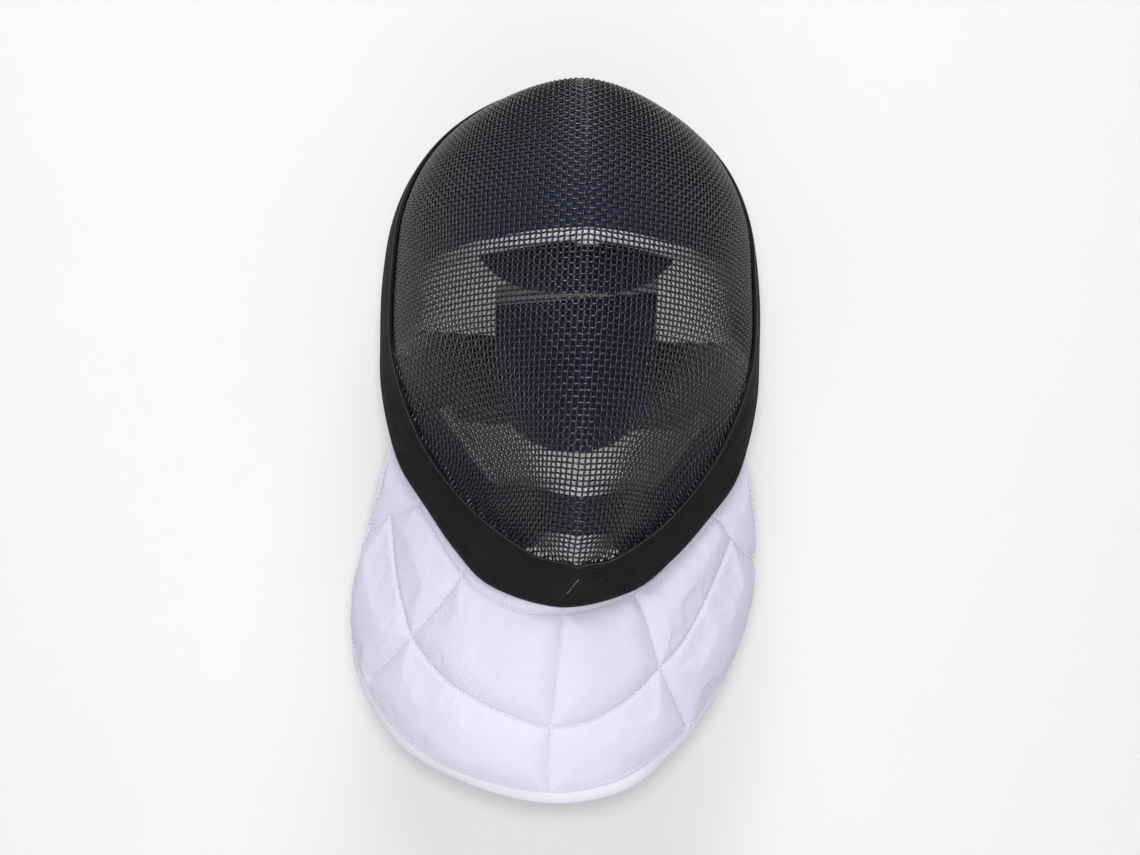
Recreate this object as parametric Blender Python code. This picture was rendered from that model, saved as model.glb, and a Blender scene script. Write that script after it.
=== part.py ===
"""Fencing mask: a woven wire shell with a rim trim, a padded bib, inner pads and a back strap.

Metres. +Z is up, the face looks towards -Y, and +X is on the right of someone who faces the mask.
The origin is the head seat: the underside of the crown pad, where the mask sits on the head.

The shell is a fan of rows. Each row starts on the centre ridge, runs round the side of the face and
ends at the rim. v goes from the crown (0) to the chin (1). w is 0 on the ridge, 1 where the wires go
under the trim and 2 at the trim's outer edge, and it is negative on the left side.
"""
import math

import bmesh
import bpy
import numpy as np

# ------------------------------------------------------------------ driving sizes
GAP = 0.0006              # clearance between pieces that touch
TAPE_GAP = 0.0015         # clearance between a pad and its binding
CROWN_GAP = 0.0012        # clearance between each pad and the wires
CHIN_GAP = 0.0021
SHELL_WALL = 0.0015       # the woven wires' depth
SHELL_EDGE = 0.003        # how far the wires stop short of the trim's outer edge
RIDGE_CREASE = math.radians(14)   # tilt of each side at the centre ridge
ROW_START = 0.55          # handle of a row at the ridge, as a share of its half width
ROW_START_CROWN = 0.40    # the same on the crown
ROW_END = 0.50            # handle of a row at the trim, as a share of its depth
ROWS = 34                 # sections in the shell and the trim
COLUMNS = 9               # steps from the ridge to the mesh edge
FIRST_ROW = 0.006         # v of the wires' first row, and the same at the chin
CHIN_PULL = 0.0065        # the trim's outer edge is pulled to the left under the chin

TRIM_WALL = 0.0016        # one layer of the knit elastic
TRIM_BEAD = 0.0030        # how far the rolled edge stands past the rim
TRIM_TUCK = 0.014         # how far the elastic reaches back inside the shell
TRIM_OVERLAP = 0.0045     # extra cover over the shell's first and last rows
TRIM_GAP = 0.0009         # clearance between the leaves and the wires
TRIM_END_GAP = 0.0007     # extra clearance at the middle of the crown and at the chin

PAD_THICK = 0.0095        # crown and chin pads
PAD_MARGIN = 0.0175       # the pads stop this far inside the trim's outer edge
CROWN_ARM = 0.038         # width of the crown pad's arms, with the margin
CHIN_ARM = 0.029          # the same for the chin pad
CROWN_EDGE = 0.408        # v of the crown pad's edge at the ridge
CROWN_DROOP = 0.030       # how much further down the edge is where the arms start
CHIN_EDGE = 0.772         # v of the chin pad's edge where the arms start
CHIN_DIP = 0.024          # how much further down it is at the ridge
CROWN_BINDING = 0.0105    # how far each binding stands past its pad's edge
CHIN_BINDING = 0.0065
LOWER_BINDING = 0.0045

BIB_THICK = 0.0060
BIB_LEAN = -0.0150        # the bib has swung to the left below the chin
BIB_RETURN = 0.0075        # and its lowest edge has swung back
BIB_BULGE = 0.010

STRAP_HEIGHT = 0.053
STRAP_THICK = 0.0020
STRAP_Z = -0.1605
STRAP_TILT = -0.0018      # it lies lower on the right
STRAP_REAR = 0.1155       # depth of its middle line behind the head

TONGUE_SIDE = 0.0065      # the tongue pad sits this far to the right
TONGUE_REAR = 0.1068      # depth of the tongue pad's middle
TONGUE_THICK = 0.0060
TONGUE_HALF = 0.048       # half its width
TONGUE_ROUND = 3.6        # how fast its sides come forward, per metre
TONGUE_TOP = -0.1102
TONGUE_SHOULDER = -0.158  # where its straight sides turn into the round bottom
TONGUE_BOTTOM = -0.2025
TONGUE_SKEW = 0.117       # its top edge rises this much to the right
FLAP_SIDE = 0.004
FLAP_THICK = 0.0034
FLAP_ROUND = 3.6
FLAP_CORNER = 0.12        # the share of its length that its lower corners end higher

# Sections of the shell from crown to chin, mirrored in X.
# ridge: the centre line; edge: where the wires go under the trim; rim: the trim's outer edge
SECTIONS = np.array([
    # ridge_y ridge_z  edge_x  edge_y  edge_z   rim_x   rim_y   rim_z
    (0.0430, 0.0095, 0.0000, 0.0430, 0.0095, 0.0000, 0.0680, 0.0060),
    (0.0080, 0.0122, 0.0260, 0.0420, 0.0060, 0.0265, 0.0670, 0.0030),
    (-0.0240, 0.0080, 0.0500, 0.0390, -0.0035, 0.0508, 0.0640, -0.0060),
    (-0.0508, -0.0055, 0.0722, 0.0350, -0.0195, 0.0733, 0.0600, -0.0225),
    (-0.0800, -0.0275, 0.0890, 0.0290, -0.0410, 0.0912, 0.0545, -0.0440),
    (-0.1045, -0.0545, 0.0995, 0.0225, -0.0690, 0.1022, 0.0480, -0.0725),
    (-0.1235, -0.0875, 0.1025, 0.0145, -0.1020, 0.1066, 0.0400, -0.1075),
    (-0.1355, -0.1215, 0.1026, 0.0055, -0.1365, 0.1066, 0.0310, -0.1425),
    (-0.1392, -0.1460, 0.0983, -0.0015, -0.1595, 0.1053, 0.0230, -0.1680),
    (-0.1403, -0.1755, 0.0888, -0.0095, -0.1855, 0.0997, 0.0100, -0.1945),
    (-0.1375, -0.2005, 0.0779, -0.0180, -0.2065, 0.0917, -0.0050, -0.2155),
    (-0.1280, -0.2235, 0.0627, -0.0345, -0.2265, 0.0768, -0.0260, -0.2352),
    (-0.1135, -0.2423, 0.0443, -0.0560, -0.2430, 0.0584, -0.0470, -0.2566),
    (-0.1015, -0.2558, 0.0231, -0.0765, -0.2560, 0.0368, -0.0660, -0.2742),
    (-0.0940, -0.2647, 0.0000, -0.0940, -0.2647, 0.0000, -0.0820, -0.2826),
])
LEVEL_AT_CROWN = (3, 4, 6, 7)    # columns that are smooth across the crown
LEVEL_AT_CHIN = (6, 7)           # columns that are smooth across the chin

# The bib's hem on the right side, from the bottom centre to the rear corner
HEM = np.array([
    # x       y        z
    (0.0000, -0.0740, -0.3930),
    (0.0345, -0.0680, -0.3880),
    (0.0615, -0.0530, -0.3775),
    (0.0845, -0.0320, -0.3608),
    (0.1015, -0.0080, -0.3400),
    (0.1115, 0.0120, -0.3175),
    (0.1150, 0.0250, -0.2895),
])
BIB_START = 1.0           # v on the rim at the chin
BIB_END = 0.62            # v on the rim below the ear

# Side views (y, z) of the parts behind the head, from the crown down
SPRING_PATH = [(0.0545, 0.0023), (0.0680, -0.0010), (0.0830, -0.0068), (0.0970, -0.0180),
               (0.1065, -0.0380), (0.1105, -0.0650), (0.1110, -0.1050), (0.1110, -0.1500), (0.1106, -0.1880)]
FLAP_PATH = [(0.0560, -0.0018), (0.0720, -0.0076), (0.0865, -0.0205), (0.0955, -0.0430),
             (0.0985, -0.0720), (0.0975, -0.1060)]


# ------------------------------------------------------------------ curves and surfaces
def smooth_table(table, at, level_first=(), level_last=()):
    """Rows of a table read at fractional places, through a smooth curve."""
    table = np.asarray(table, float)
    slope = np.gradient(table, axis=0)
    slope[0, list(level_first)] = 0.0
    slope[-1, list(level_last)] = 0.0
    at = np.clip(np.asarray(at, float), 0, len(table) - 1)
    low = np.minimum(at.astype(int), len(table) - 2)
    t = (at - low)[..., None]
    return ((2 * t**3 - 3 * t**2 + 1) * table[low] + (t**3 - 2 * t**2 + t) * slope[low]
            + (3 * t**2 - 2 * t**3) * table[low + 1] + (t**3 - t**2) * slope[low + 1])


def unit(vectors):
    return vectors / np.maximum(np.linalg.norm(vectors, axis=-1, keepdims=True), 1e-9)


def dot(a, b):
    return np.sum(a * b, axis=-1, keepdims=True)


def step_up(value, start, end):
    """0 before start, 1 after end, smooth between."""
    t = np.clip((value - start) / (end - start), 0, 1)
    return t * t * (3 - 2 * t)


def section(v, side):
    """Ridge, mesh edge and rim points of the rows at v, on one side (1 right, -1 left)."""
    v = np.asarray(v, float)
    row = smooth_table(SECTIONS, v * (len(SECTIONS) - 1), LEVEL_AT_CROWN, LEVEL_AT_CHIN)
    side = np.broadcast_to(side, v.shape)
    ridge = np.stack([np.zeros_like(v), row[..., 0], row[..., 1]], -1)
    edge = np.stack([side * row[..., 2], row[..., 3], row[..., 4]], -1)
    rim = np.stack([side * row[..., 5], row[..., 6], row[..., 7]], -1)
    rim[..., 0] -= CHIN_PULL * step_up(v, 0.72, 1.0)
    return ridge, edge, rim


def shell(v, w):
    """Points on the outside of the wires at v and w."""
    v, w = np.broadcast_arrays(np.asarray(v, float), np.asarray(w, float))
    side = np.where(w < 0, -1.0, 1.0)
    ridge, edge, rim = section(v, side)
    ridge_0, edge_0, rim_0 = section(np.maximum(v - 0.004, 0), side)
    ridge_1, edge_1, rim_1 = section(np.minimum(v + 0.004, 1), side)
    down = unit(ridge_1 - ridge_0)
    inward = np.stack([np.zeros_like(v), -down[..., 2], down[..., 1]], -1)
    across = np.zeros_like(ridge)
    across[..., 0] = side
    half_width = np.abs(edge[..., :1])
    crease = RIDGE_CREASE * step_up(v, 0.06, 0.30) * (1 - step_up(v, 0.90, 0.99))
    reach = ROW_START_CROWN + (ROW_START - ROW_START_CROWN) * step_up(v, 0.0, 0.35)[..., None]
    start = ridge + reach * half_width * (across + np.tan(crease)[..., None] * inward)
    # the row meets the trim in its own plane, so that it stays level when seen from the front
    back = edge - ridge
    back[..., 0] = 0
    depth = np.linalg.norm(back, axis=-1, keepdims=True)
    plane = np.cross(across, unit(back))
    out = unit(rim - edge)
    along = unit(edge_1 - edge_0)
    leaving = unit(out * dot(along, plane) - along * dot(out, plane))
    leaving *= np.sign(dot(leaving, out))
    end = edge - ROW_END * depth * leaving
    t = np.minimum(np.abs(w), 1)[..., None]
    row = (1 - t)**3 * ridge + 3 * t * (1 - t)**2 * start + 3 * t * t * (1 - t) * end + t**3 * edge
    return row + np.maximum(np.abs(w) - 1, 0)[..., None] * (rim - edge)


def shell_normal(v, w):
    """The shell's outward direction at v and w."""
    v, w = np.broadcast_arrays(np.asarray(v, float), np.asarray(w, float))
    d = 0.004
    v0, v1 = np.clip(v - d, 0, 1), np.clip(v + d, 0, 1)
    along = unit(shell(v1, w) - shell(v0, w))
    round_face = unit(shell(v, w + d) - shell(v, w - d))
    return unit(np.cross(along, round_face))


def rim_side(v, distance):
    """The w that lies this far inside the trim's outer edge."""
    _, edge, rim = section(v, 1)
    return 2 - distance / np.linalg.norm(rim - edge, axis=-1)


def arm_side(v, width):
    """The w at this distance from the pads' outer margin, measured over the shell."""
    steps = np.linspace(0, 1, 60)
    result = []
    for row in np.atleast_1d(v):
        w = steps * rim_side(row, PAD_MARGIN)
        run = np.linalg.norm(np.diff(shell(row, w), axis=0), axis=1)[::-1].cumsum()
        result.append(np.interp(width, np.concatenate([[0], run]), w[::-1]))
    return np.array(result)


# ------------------------------------------------------------------ building
def material(name, colour, roughness, metallic=0.0):
    made = bpy.data.materials.new(name)
    made.use_nodes = True
    shader = made.node_tree.nodes["Principled BSDF"]
    shader.inputs["Base Color"].default_value = (*colour, 1)
    shader.inputs["Roughness"].default_value = roughness
    shader.inputs["Metallic"].default_value = metallic
    return made


def add_object(name, mesh_tool, finish, sharp=40):
    bmesh.ops.recalc_face_normals(mesh_tool, faces=mesh_tool.faces)
    mesh = bpy.data.meshes.new(name)
    mesh_tool.to_mesh(mesh)
    mesh_tool.free()
    mesh.materials.append(finish)
    mesh.shade_smooth()
    mesh.set_sharp_from_angle(angle=math.radians(sharp))
    made = bpy.data.objects.new(name, mesh)
    bpy.context.scene.collection.objects.link(made)
    return made


def slab(name, outer, inner, finish):
    """A closed wall between two grids of points."""
    work = bmesh.new()
    rows, columns = outer.shape[:2]
    sides = [[[work.verts.new(p) for p in line] for line in grid] for grid in (outer, inner)]
    for grid in sides:
        for i in range(rows - 1):
            for j in range(columns - 1):
                work.faces.new((grid[i][j], grid[i][j + 1], grid[i + 1][j + 1], grid[i + 1][j]))
    border = [(0, j) for j in range(columns)] + [(i, columns - 1) for i in range(1, rows)]
    border += [(rows - 1, j) for j in range(columns - 2, -1, -1)] + [(i, 0) for i in range(rows - 2, 0, -1)]
    for (i, j), (k, m) in zip(border, border[1:] + border[:1]):
        work.faces.new((sides[0][i][j], sides[0][k][m], sides[1][k][m], sides[1][i][j]))
    return add_object(name, work, finish)


def sweep(name, loops, finish, closed=False):
    """A solid through a row of closed sections that have the same number of points."""
    work = bmesh.new()
    rings = [[work.verts.new(p) for p in loop] for loop in loops]
    pairs = list(zip(rings, rings[1:] + rings[:1])) if closed else list(zip(rings, rings[1:]))
    for a, b in pairs:
        for k in range(len(a)):
            m = (k + 1) % len(a)
            work.faces.new((a[k], a[m], b[m], b[k]))
    if not closed:
        work.faces.new(rings[0][::-1])
        work.faces.new(rings[-1])
    return add_object(name, work, finish)


# ------------------------------------------------------------------ the pieces
def row_places():
    """v of the rows that the shell and the trim share."""
    return np.concatenate([[FIRST_ROW], np.arange(1, ROWS) / ROWS, [1 - FIRST_ROW]])


def wire_shell(finish):
    v = row_places()
    to_edge = np.linspace(0, 1, COLUMNS + 1)
    under_trim = rim_side(v, SHELL_EDGE)
    right = np.array([np.concatenate([to_edge, [(1 + u) / 2, u]]) for u in under_trim])
    w = np.concatenate([-right[:, :0:-1], right], axis=1)
    v = v[:, None]
    outer = shell(v, w)
    slab("wire_shell", outer, outer - SHELL_WALL * shell_normal(v, w), finish)


def rim_trim(finish):
    """One folded band round the opening: a leaf on each side of the wires and a rolled edge."""
    rows = row_places()
    v = np.concatenate([[0.0], rows, [1.0], rows[::-1]])
    side = np.repeat([1.0, -1.0], [len(rows) + 2, len(rows)])
    _, edge, rim = section(v, side)
    out = unit(rim - edge)
    along = unit(np.roll(rim, -1, axis=0) - np.roll(rim, 1, axis=0))
    normal = unit(np.cross(along, out))
    # the leaves stand further off the wires at the middle of the crown and at the chin
    gap = TRIM_GAP + TRIM_END_GAP * step_up(v, 0.93, 0.98)
    gap[0] += TRIM_END_GAP
    cover = np.linalg.norm(rim - edge, axis=1) - 0.0005
    cover[[0, len(rows) + 1]] += TRIM_OVERLAP
    slot = -SHELL_EDGE + GAP
    section_points = [
        # out of the rim, off the wires; a point inside the wires is below 0
        (slot, 0.0),
        (slot, -SHELL_WALL),
        (-TRIM_TUCK, -SHELL_WALL),
        (-TRIM_TUCK, -SHELL_WALL - TRIM_WALL * 0.7),
        (-0.0015, -SHELL_WALL - TRIM_WALL * 1.2),
        (TRIM_BEAD * 0.75, -SHELL_WALL - 0.0002),
        (TRIM_BEAD, TRIM_WALL * 0.6),
        (TRIM_BEAD * 0.4, TRIM_WALL * 1.9),
        (-0.0035, TRIM_WALL * 1.2),
    ]
    loops = []
    for k in range(len(rim)):
        places = np.array(section_points + [(-cover[k], TRIM_WALL), (-cover[k], 0.0)])
        reach = places[:, :1] * out[k]
        height = places[:, 1:] + np.where(places[:, 1:] < 0, -gap[k], gap[k])
        loops.append(rim[k] + reach + height * normal[k])
    sweep("rim_trim", loops, finish, closed=True)


def lining(name, edge_v, edge_w, margin_v, margin_w, steps, gap, finish):
    """A pad inside the shell, from its free edge to its margin; the lines run from the ridge outwards.

    Returns v and w of the free edge, of the next line, of the last but one and of the margin.
    """
    t = np.linspace(0, 1, steps)
    v = edge_v[:, None] * (1 - t) + margin_v[:, None] * t
    w = edge_w[:, None] * (1 - t) + margin_w[:, None] * t
    v = np.concatenate([v[:0:-1], v])
    w = np.concatenate([-w[:0:-1], w])
    normal = shell_normal(v, w)
    outer = shell(v, w) - (SHELL_WALL + gap) * normal
    slab(name, outer, outer - PAD_THICK * normal, finish)
    return [(v[:, k], w[:, k]) for k in (0, 1, -2, -1)]


def binding(name, edge, inside, width, gap, finish):
    """Tape over a pad's edge; edge and inside hold v and w of the edge and of a line in the pad."""
    v, w = edge
    reach = np.linalg.norm(shell(*edge) - shell(*inside), axis=1)
    step_v = (v - inside[0]) / reach
    step_w = (w - inside[1]) / reach
    top = SHELL_WALL + gap
    bottom = top + PAD_THICK
    flat = [(TAPE_GAP, top), (width * 0.8, top + 0.0003), (width, top + 0.0020),
            (width, bottom - 0.0020), (width * 0.8, bottom - 0.0003), (TAPE_GAP, bottom)]
    lines = []
    for a, b in flat:
        place = (v + a * step_v, w + a * step_w)
        lines.append(shell(*place) - b * shell_normal(*place))
    sweep(name, list(np.array(lines).transpose(1, 0, 2)), finish)


def crown_parts(navy, white):
    """The crown pad comes down to an arched edge on the brow, with an arm on each temple."""
    arm_end, corner, count = 0.505, 9, 15
    brow = CROWN_EDGE + CROWN_DROOP * np.linspace(0, 1, corner) ** 2
    edge_v = np.concatenate([brow, np.linspace(brow[-1], arm_end, count - corner + 1)[1:]])
    edge_w = arm_side(edge_v, CROWN_ARM) * np.minimum(np.arange(count) / (corner - 1), 1)
    start = 1 / ROWS
    margin_v = np.concatenate([[start], np.linspace(start, arm_end, count - 1)])
    margin_w = rim_side(margin_v, PAD_MARGIN)
    margin_w[0] = 0
    lines = lining("crown_pad", edge_v, edge_w, margin_v, margin_w, 9, CROWN_GAP, navy)
    binding("crown_pad_binding", lines[0], lines[1], CROWN_BINDING, CROWN_GAP, white)


def chin_parts(navy, white):
    """The chin pad fills the chin and comes up each cheek in an arm."""
    arm_end, low, corner, count = 0.655, 0.910, 7, 15
    dip = CHIN_EDGE + CHIN_DIP * np.cos(np.linspace(0, math.pi / 2, corner)) ** 2
    edge_v = np.concatenate([dip, np.linspace(CHIN_EDGE, arm_end, count - corner + 1)[1:]])
    edge_w = arm_side(edge_v, CHIN_ARM) * np.minimum(np.arange(count) / (corner - 1), 1)
    margin_v = np.concatenate([np.full(4, low), np.linspace(low, arm_end, count - 4)])
    margin_w = rim_side(margin_v, PAD_MARGIN)
    margin_w[:4] = 0.0, 0.34, 0.68, 1.0
    lines = lining("chin_pad", edge_v, edge_w, margin_v, margin_w, 6, CHIN_GAP, navy)
    binding("chin_pad_binding", lines[0], lines[1], CHIN_BINDING, CHIN_GAP, white)
    middle = slice(count - 3, count + 2)
    low_line = [(v[middle], w[middle]) for v, w in lines]
    binding("chin_lower_binding", low_line[3], low_line[2], LOWER_BINDING, CHIN_GAP, white)


def bib_surface(u, t):
    """The bib's outside: u from -1 (left) over 0 (chin) to 1, t from the rim (0) to the hem (1)."""
    u, t = np.broadcast_arrays(np.asarray(u, float), np.asarray(t, float))
    side = np.where(u < 0, -1.0, 1.0)
    share = np.abs(u)
    v = BIB_START + (BIB_END - BIB_START) * share
    _, edge, rim = section(v, side)
    rim_before = section(v - 0.004, side)[2]
    out = unit(rim - edge)
    normal = unit(np.cross(unit(rim - rim_before) * side[..., None], out))
    top = rim + (TRIM_BEAD + 0.0012) * out - 0.0030 * normal
    hem = smooth_table(HEM, share * (len(HEM) - 1), level_first=(1, 2))
    hem = hem * np.stack([side, np.ones_like(u), np.ones_like(u)], -1)
    bulge = unit(np.stack([hem[..., 0], -0.09 * np.cos(share * 1.45), np.zeros_like(u)], -1))
    middle = (top + hem) / 2 + BIB_BULGE * bulge
    t = t[..., None]
    points = (1 - t)**2 * top + 2 * t * (1 - t) * middle + t * t * hem
    down = -points[..., 2]
    points[..., 0] += BIB_LEAN * step_up(down, 0.215, 0.375) + BIB_RETURN * step_up(down, 0.370, 0.395)
    return points


def grid_normal(grid):
    return unit(np.cross(np.gradient(grid, axis=0), np.gradient(grid, axis=1)))


def bib(finish):
    outer = bib_surface(np.linspace(-1, 1, 33)[:, None], np.linspace(0, 1, 11)[None, :])
    normal = grid_normal(outer)
    if normal[16, 5, 1] > 0:
        normal = -normal
    slab("bib", outer, outer - BIB_THICK * normal, finish)


def plate(name, middle, thick, finish):
    """A plate of even thickness on both sides of a grid."""
    offset = thick / 2 * grid_normal(middle)
    slab(name, middle + offset, middle - offset, finish)


def back_strap(finish):
    """Wide elastic from the trim's inside on one side, round behind the head, to the other."""
    t = np.linspace(0, 1, 11)[:, None]
    v = np.linspace(0.3, 0.8, 200)
    inset = SHELL_WALL + 2 * GAP + TRIM_WALL * 1.2 + STRAP_THICK / 2
    halves = []
    for side in (-1, 1):
        _, edge, rim = section(v, side)
        out = unit(rim - edge)
        normal = unit(np.cross(np.gradient(rim, axis=0) * side, out))
        lines = []
        for height in (-STRAP_HEIGHT / 2, 0, STRAP_HEIGHT / 2):
            k = int(np.argmin(np.abs(rim[:, 2] - (STRAP_Z + height + STRAP_TILT * side))))
            start = rim[k] - 0.006 * out[k] - inset * normal[k]
            rear = np.array([0.0, STRAP_REAR, STRAP_Z + height])
            by_trim = start + np.array([side * 0.008, 0.052, 0])
            by_rear = rear + np.array([side * 0.090, 0, 0])
            lines.append((1 - t)**3 * start + 3 * t * (1 - t)**2 * by_trim
                         + 3 * t * t * (1 - t) * by_rear + t**3 * rear)
        halves.append(np.array(lines).transpose(1, 0, 2))
    plate("back_strap", np.concatenate([halves[0], halves[1][-2::-1]]), STRAP_THICK, finish)


def rear_flap(finish):
    """The flap behind the crown hangs to a rounded edge: its corners end higher than its middle."""
    across = np.linspace(-1, 1, 13)
    last = len(FLAP_PATH) - 1
    grid = []
    for down in np.linspace(0, 1, 10):
        half = np.interp(down, [0, 0.5, 1], [0.044, 0.056, 0.0585])
        x = across * half
        y, z = smooth_table(FLAP_PATH, down * (1 - FLAP_CORNER * np.abs(across)**3.5) * last).T
        y = y - FLAP_ROUND * step_up(down, 0, 0.67) * x**2
        z = z - (0.45 + 5.6 * (1 - down) ** 2) * x**2
        grid.append(np.stack([x + FLAP_SIDE, y, z], -1))
    plate("rear_flap", np.array(grid), FLAP_THICK, finish)


def tongue_spring(finish):
    """The flat steel strip that holds the tongue pad behind the head."""
    path = smooth_table(SPRING_PATH, np.linspace(0, len(SPRING_PATH) - 1, 19))
    shift = TONGUE_SIDE * np.linspace(0, 1, len(path))
    grid = [[(x + across, y, z) for across in (-0.012, 0.012)] for x, (y, z) in zip(shift, path)]
    plate("tongue_spring", np.array(grid), 0.0010, finish)


def tongue_plate(name, heights, half_widths, finish):
    heights = np.array(heights)[:, None]
    x = np.array(half_widths)[:, None] * np.linspace(-1, 1, 9)
    y = TONGUE_REAR - TONGUE_ROUND * x**2
    skewed = np.clip((heights - TONGUE_SHOULDER) / (TONGUE_TOP - TONGUE_SHOULDER), 0, 1)
    z = heights + TONGUE_SKEW * skewed * x
    plate(name, np.stack([x + TONGUE_SIDE, y, z], -1), TONGUE_THICK, finish)


def tongue_parts(navy, white):
    """The shield-shaped tongue pad: straight sides over a rounded bottom, and tape along its top."""
    turn = np.linspace(0, 0.965 * math.pi / 2, 7)[1:]
    rounded = TONGUE_SHOULDER + (TONGUE_BOTTOM - TONGUE_SHOULDER) * np.sin(turn)
    heights = np.concatenate([np.linspace(TONGUE_TOP, TONGUE_SHOULDER, 5), rounded])
    half_widths = np.concatenate([np.full(5, TONGUE_HALF), TONGUE_HALF * np.cos(turn)])
    tongue_plate("tongue_pad", heights, half_widths, navy)
    tongue_plate("tongue_binding", [-0.0990, -0.1045, TONGUE_TOP + GAP], [TONGUE_HALF] * 3, white)


def main():
    for old in list(bpy.data.objects):
        bpy.data.objects.remove(old)
    steel = material("wire_black", (0.020, 0.020, 0.022), 0.45, 0.6)
    knit = material("trim_black", (0.012, 0.012, 0.013), 0.85)
    white = material("bib_white", (0.80, 0.79, 0.88), 0.85)
    navy = material("pad_navy", (0.018, 0.020, 0.085), 0.85)
    tape = material("binding_white", (0.78, 0.78, 0.80), 0.80)
    elastic = material("strap_black", (0.010, 0.010, 0.011), 0.85)
    spring = material("spring_black", (0.030, 0.030, 0.032), 0.50, 0.5)
    wire_shell(steel)
    rim_trim(knit)
    bib(white)
    crown_parts(navy, tape)
    chin_parts(navy, tape)
    back_strap(elastic)
    rear_flap(navy)
    tongue_spring(spring)
    tongue_parts(navy, tape)


main()
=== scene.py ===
import math

import bmesh
import bpy
import numpy as np
from mathutils import Matrix, Vector
from mathutils.kdtree import KDTree


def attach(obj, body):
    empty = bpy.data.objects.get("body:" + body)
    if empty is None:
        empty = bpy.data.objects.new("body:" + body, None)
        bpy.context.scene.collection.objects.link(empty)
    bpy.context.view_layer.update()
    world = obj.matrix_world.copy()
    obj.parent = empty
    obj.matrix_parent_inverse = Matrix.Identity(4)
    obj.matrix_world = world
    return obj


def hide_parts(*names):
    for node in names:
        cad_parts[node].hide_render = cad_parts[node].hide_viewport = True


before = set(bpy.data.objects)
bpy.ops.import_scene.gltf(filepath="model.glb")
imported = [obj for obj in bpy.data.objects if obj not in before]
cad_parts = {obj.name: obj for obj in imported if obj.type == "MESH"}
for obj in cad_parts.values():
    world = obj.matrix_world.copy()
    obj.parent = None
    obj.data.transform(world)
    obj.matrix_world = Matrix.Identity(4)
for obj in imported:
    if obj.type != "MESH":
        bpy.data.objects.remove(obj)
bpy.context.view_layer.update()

# ---- sizes shared with the construction
# Metres. +Z is up and the face looks towards -Y. v runs over the shell's rows from the crown (0) to
# the chin (1); w is 0 on the centre ridge, 1 where the wires go under the trim and 2 at its outer edge.
SHELL_WALL = 0.0015
SHELL_EDGE = 0.003
RIDGE_CREASE = math.radians(14)
ROW_START = 0.55
ROW_START_CROWN = 0.40
ROW_END = 0.50
CHIN_PULL = 0.0065
TRIM_GAP = 0.0009
TRIM_WALL = 0.0016
TRIM_BEAD = 0.0030
TRIM_TUCK = 0.014
CROWN_GAP = 0.0012
CHIN_GAP = 0.0021
PAD_THICK = 0.0095
PAD_MARGIN = 0.0175
CROWN_ARM = 0.038
CHIN_ARM = 0.029
CROWN_EDGE = 0.408
CROWN_DROOP = 0.030
CHIN_EDGE = 0.772
CHIN_DIP = 0.024
CROWN_BINDING = 0.0105
CHIN_BINDING = 0.0065
LOWER_BINDING = 0.0045
LOWER_REACH = 0.0062      # how far the lower tape hangs on past the chin pad
BIB_THICK = 0.0060
BIB_LEAN = -0.0150
BIB_RETURN = 0.0075
BIB_BULGE = 0.010
BIB_START = 1.0
BIB_END = 0.62
STRAP_HEIGHT = 0.053
STRAP_THICK = 0.0020
STRAP_Z = -0.1605
STRAP_TILT = -0.0018
STRAP_REAR = 0.1155
TONGUE_SIDE = 0.0065
TONGUE_REAR = 0.1068
TONGUE_THICK = 0.0060
TONGUE_HALF = 0.048
TONGUE_ROUND = 3.6
TONGUE_TOP = -0.1102
TONGUE_SHOULDER = -0.158
TONGUE_BOTTOM = -0.2025
TONGUE_SKEW = 0.117
FLAP_SIDE = 0.004
FLAP_THICK = 0.0034
FLAP_ROUND = 3.6
FLAP_CORNER = 0.12

SECTIONS = np.array([
    # ridge_y ridge_z  edge_x  edge_y  edge_z   rim_x   rim_y   rim_z
    (0.0430, 0.0095, 0.0000, 0.0430, 0.0095, 0.0000, 0.0680, 0.0060),
    (0.0080, 0.0122, 0.0260, 0.0420, 0.0060, 0.0265, 0.0670, 0.0030),
    (-0.0240, 0.0080, 0.0500, 0.0390, -0.0035, 0.0508, 0.0640, -0.0060),
    (-0.0508, -0.0055, 0.0722, 0.0350, -0.0195, 0.0733, 0.0600, -0.0225),
    (-0.0800, -0.0275, 0.0890, 0.0290, -0.0410, 0.0912, 0.0545, -0.0440),
    (-0.1045, -0.0545, 0.0995, 0.0225, -0.0690, 0.1022, 0.0480, -0.0725),
    (-0.1235, -0.0875, 0.1025, 0.0145, -0.1020, 0.1066, 0.0400, -0.1075),
    (-0.1355, -0.1215, 0.1026, 0.0055, -0.1365, 0.1066, 0.0310, -0.1425),
    (-0.1392, -0.1460, 0.0983, -0.0015, -0.1595, 0.1053, 0.0230, -0.1680),
    (-0.1403, -0.1755, 0.0888, -0.0095, -0.1855, 0.0997, 0.0100, -0.1945),
    (-0.1375, -0.2005, 0.0779, -0.0180, -0.2065, 0.0917, -0.0050, -0.2155),
    (-0.1280, -0.2235, 0.0627, -0.0345, -0.2265, 0.0768, -0.0260, -0.2352),
    (-0.1135, -0.2423, 0.0443, -0.0560, -0.2430, 0.0584, -0.0470, -0.2566),
    (-0.1015, -0.2558, 0.0231, -0.0765, -0.2560, 0.0368, -0.0660, -0.2742),
    (-0.0940, -0.2647, 0.0000, -0.0940, -0.2647, 0.0000, -0.0820, -0.2826),
])
LEVEL_AT_CROWN = (3, 4, 6, 7)
LEVEL_AT_CHIN = (6, 7)
HEM = np.array([
    # x       y        z
    (0.0000, -0.0740, -0.3930),
    (0.0345, -0.0680, -0.3880),
    (0.0615, -0.0530, -0.3775),
    (0.0845, -0.0320, -0.3608),
    (0.1015, -0.0080, -0.3400),
    (0.1115, 0.0120, -0.3175),
    (0.1150, 0.0250, -0.2895),
])
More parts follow.
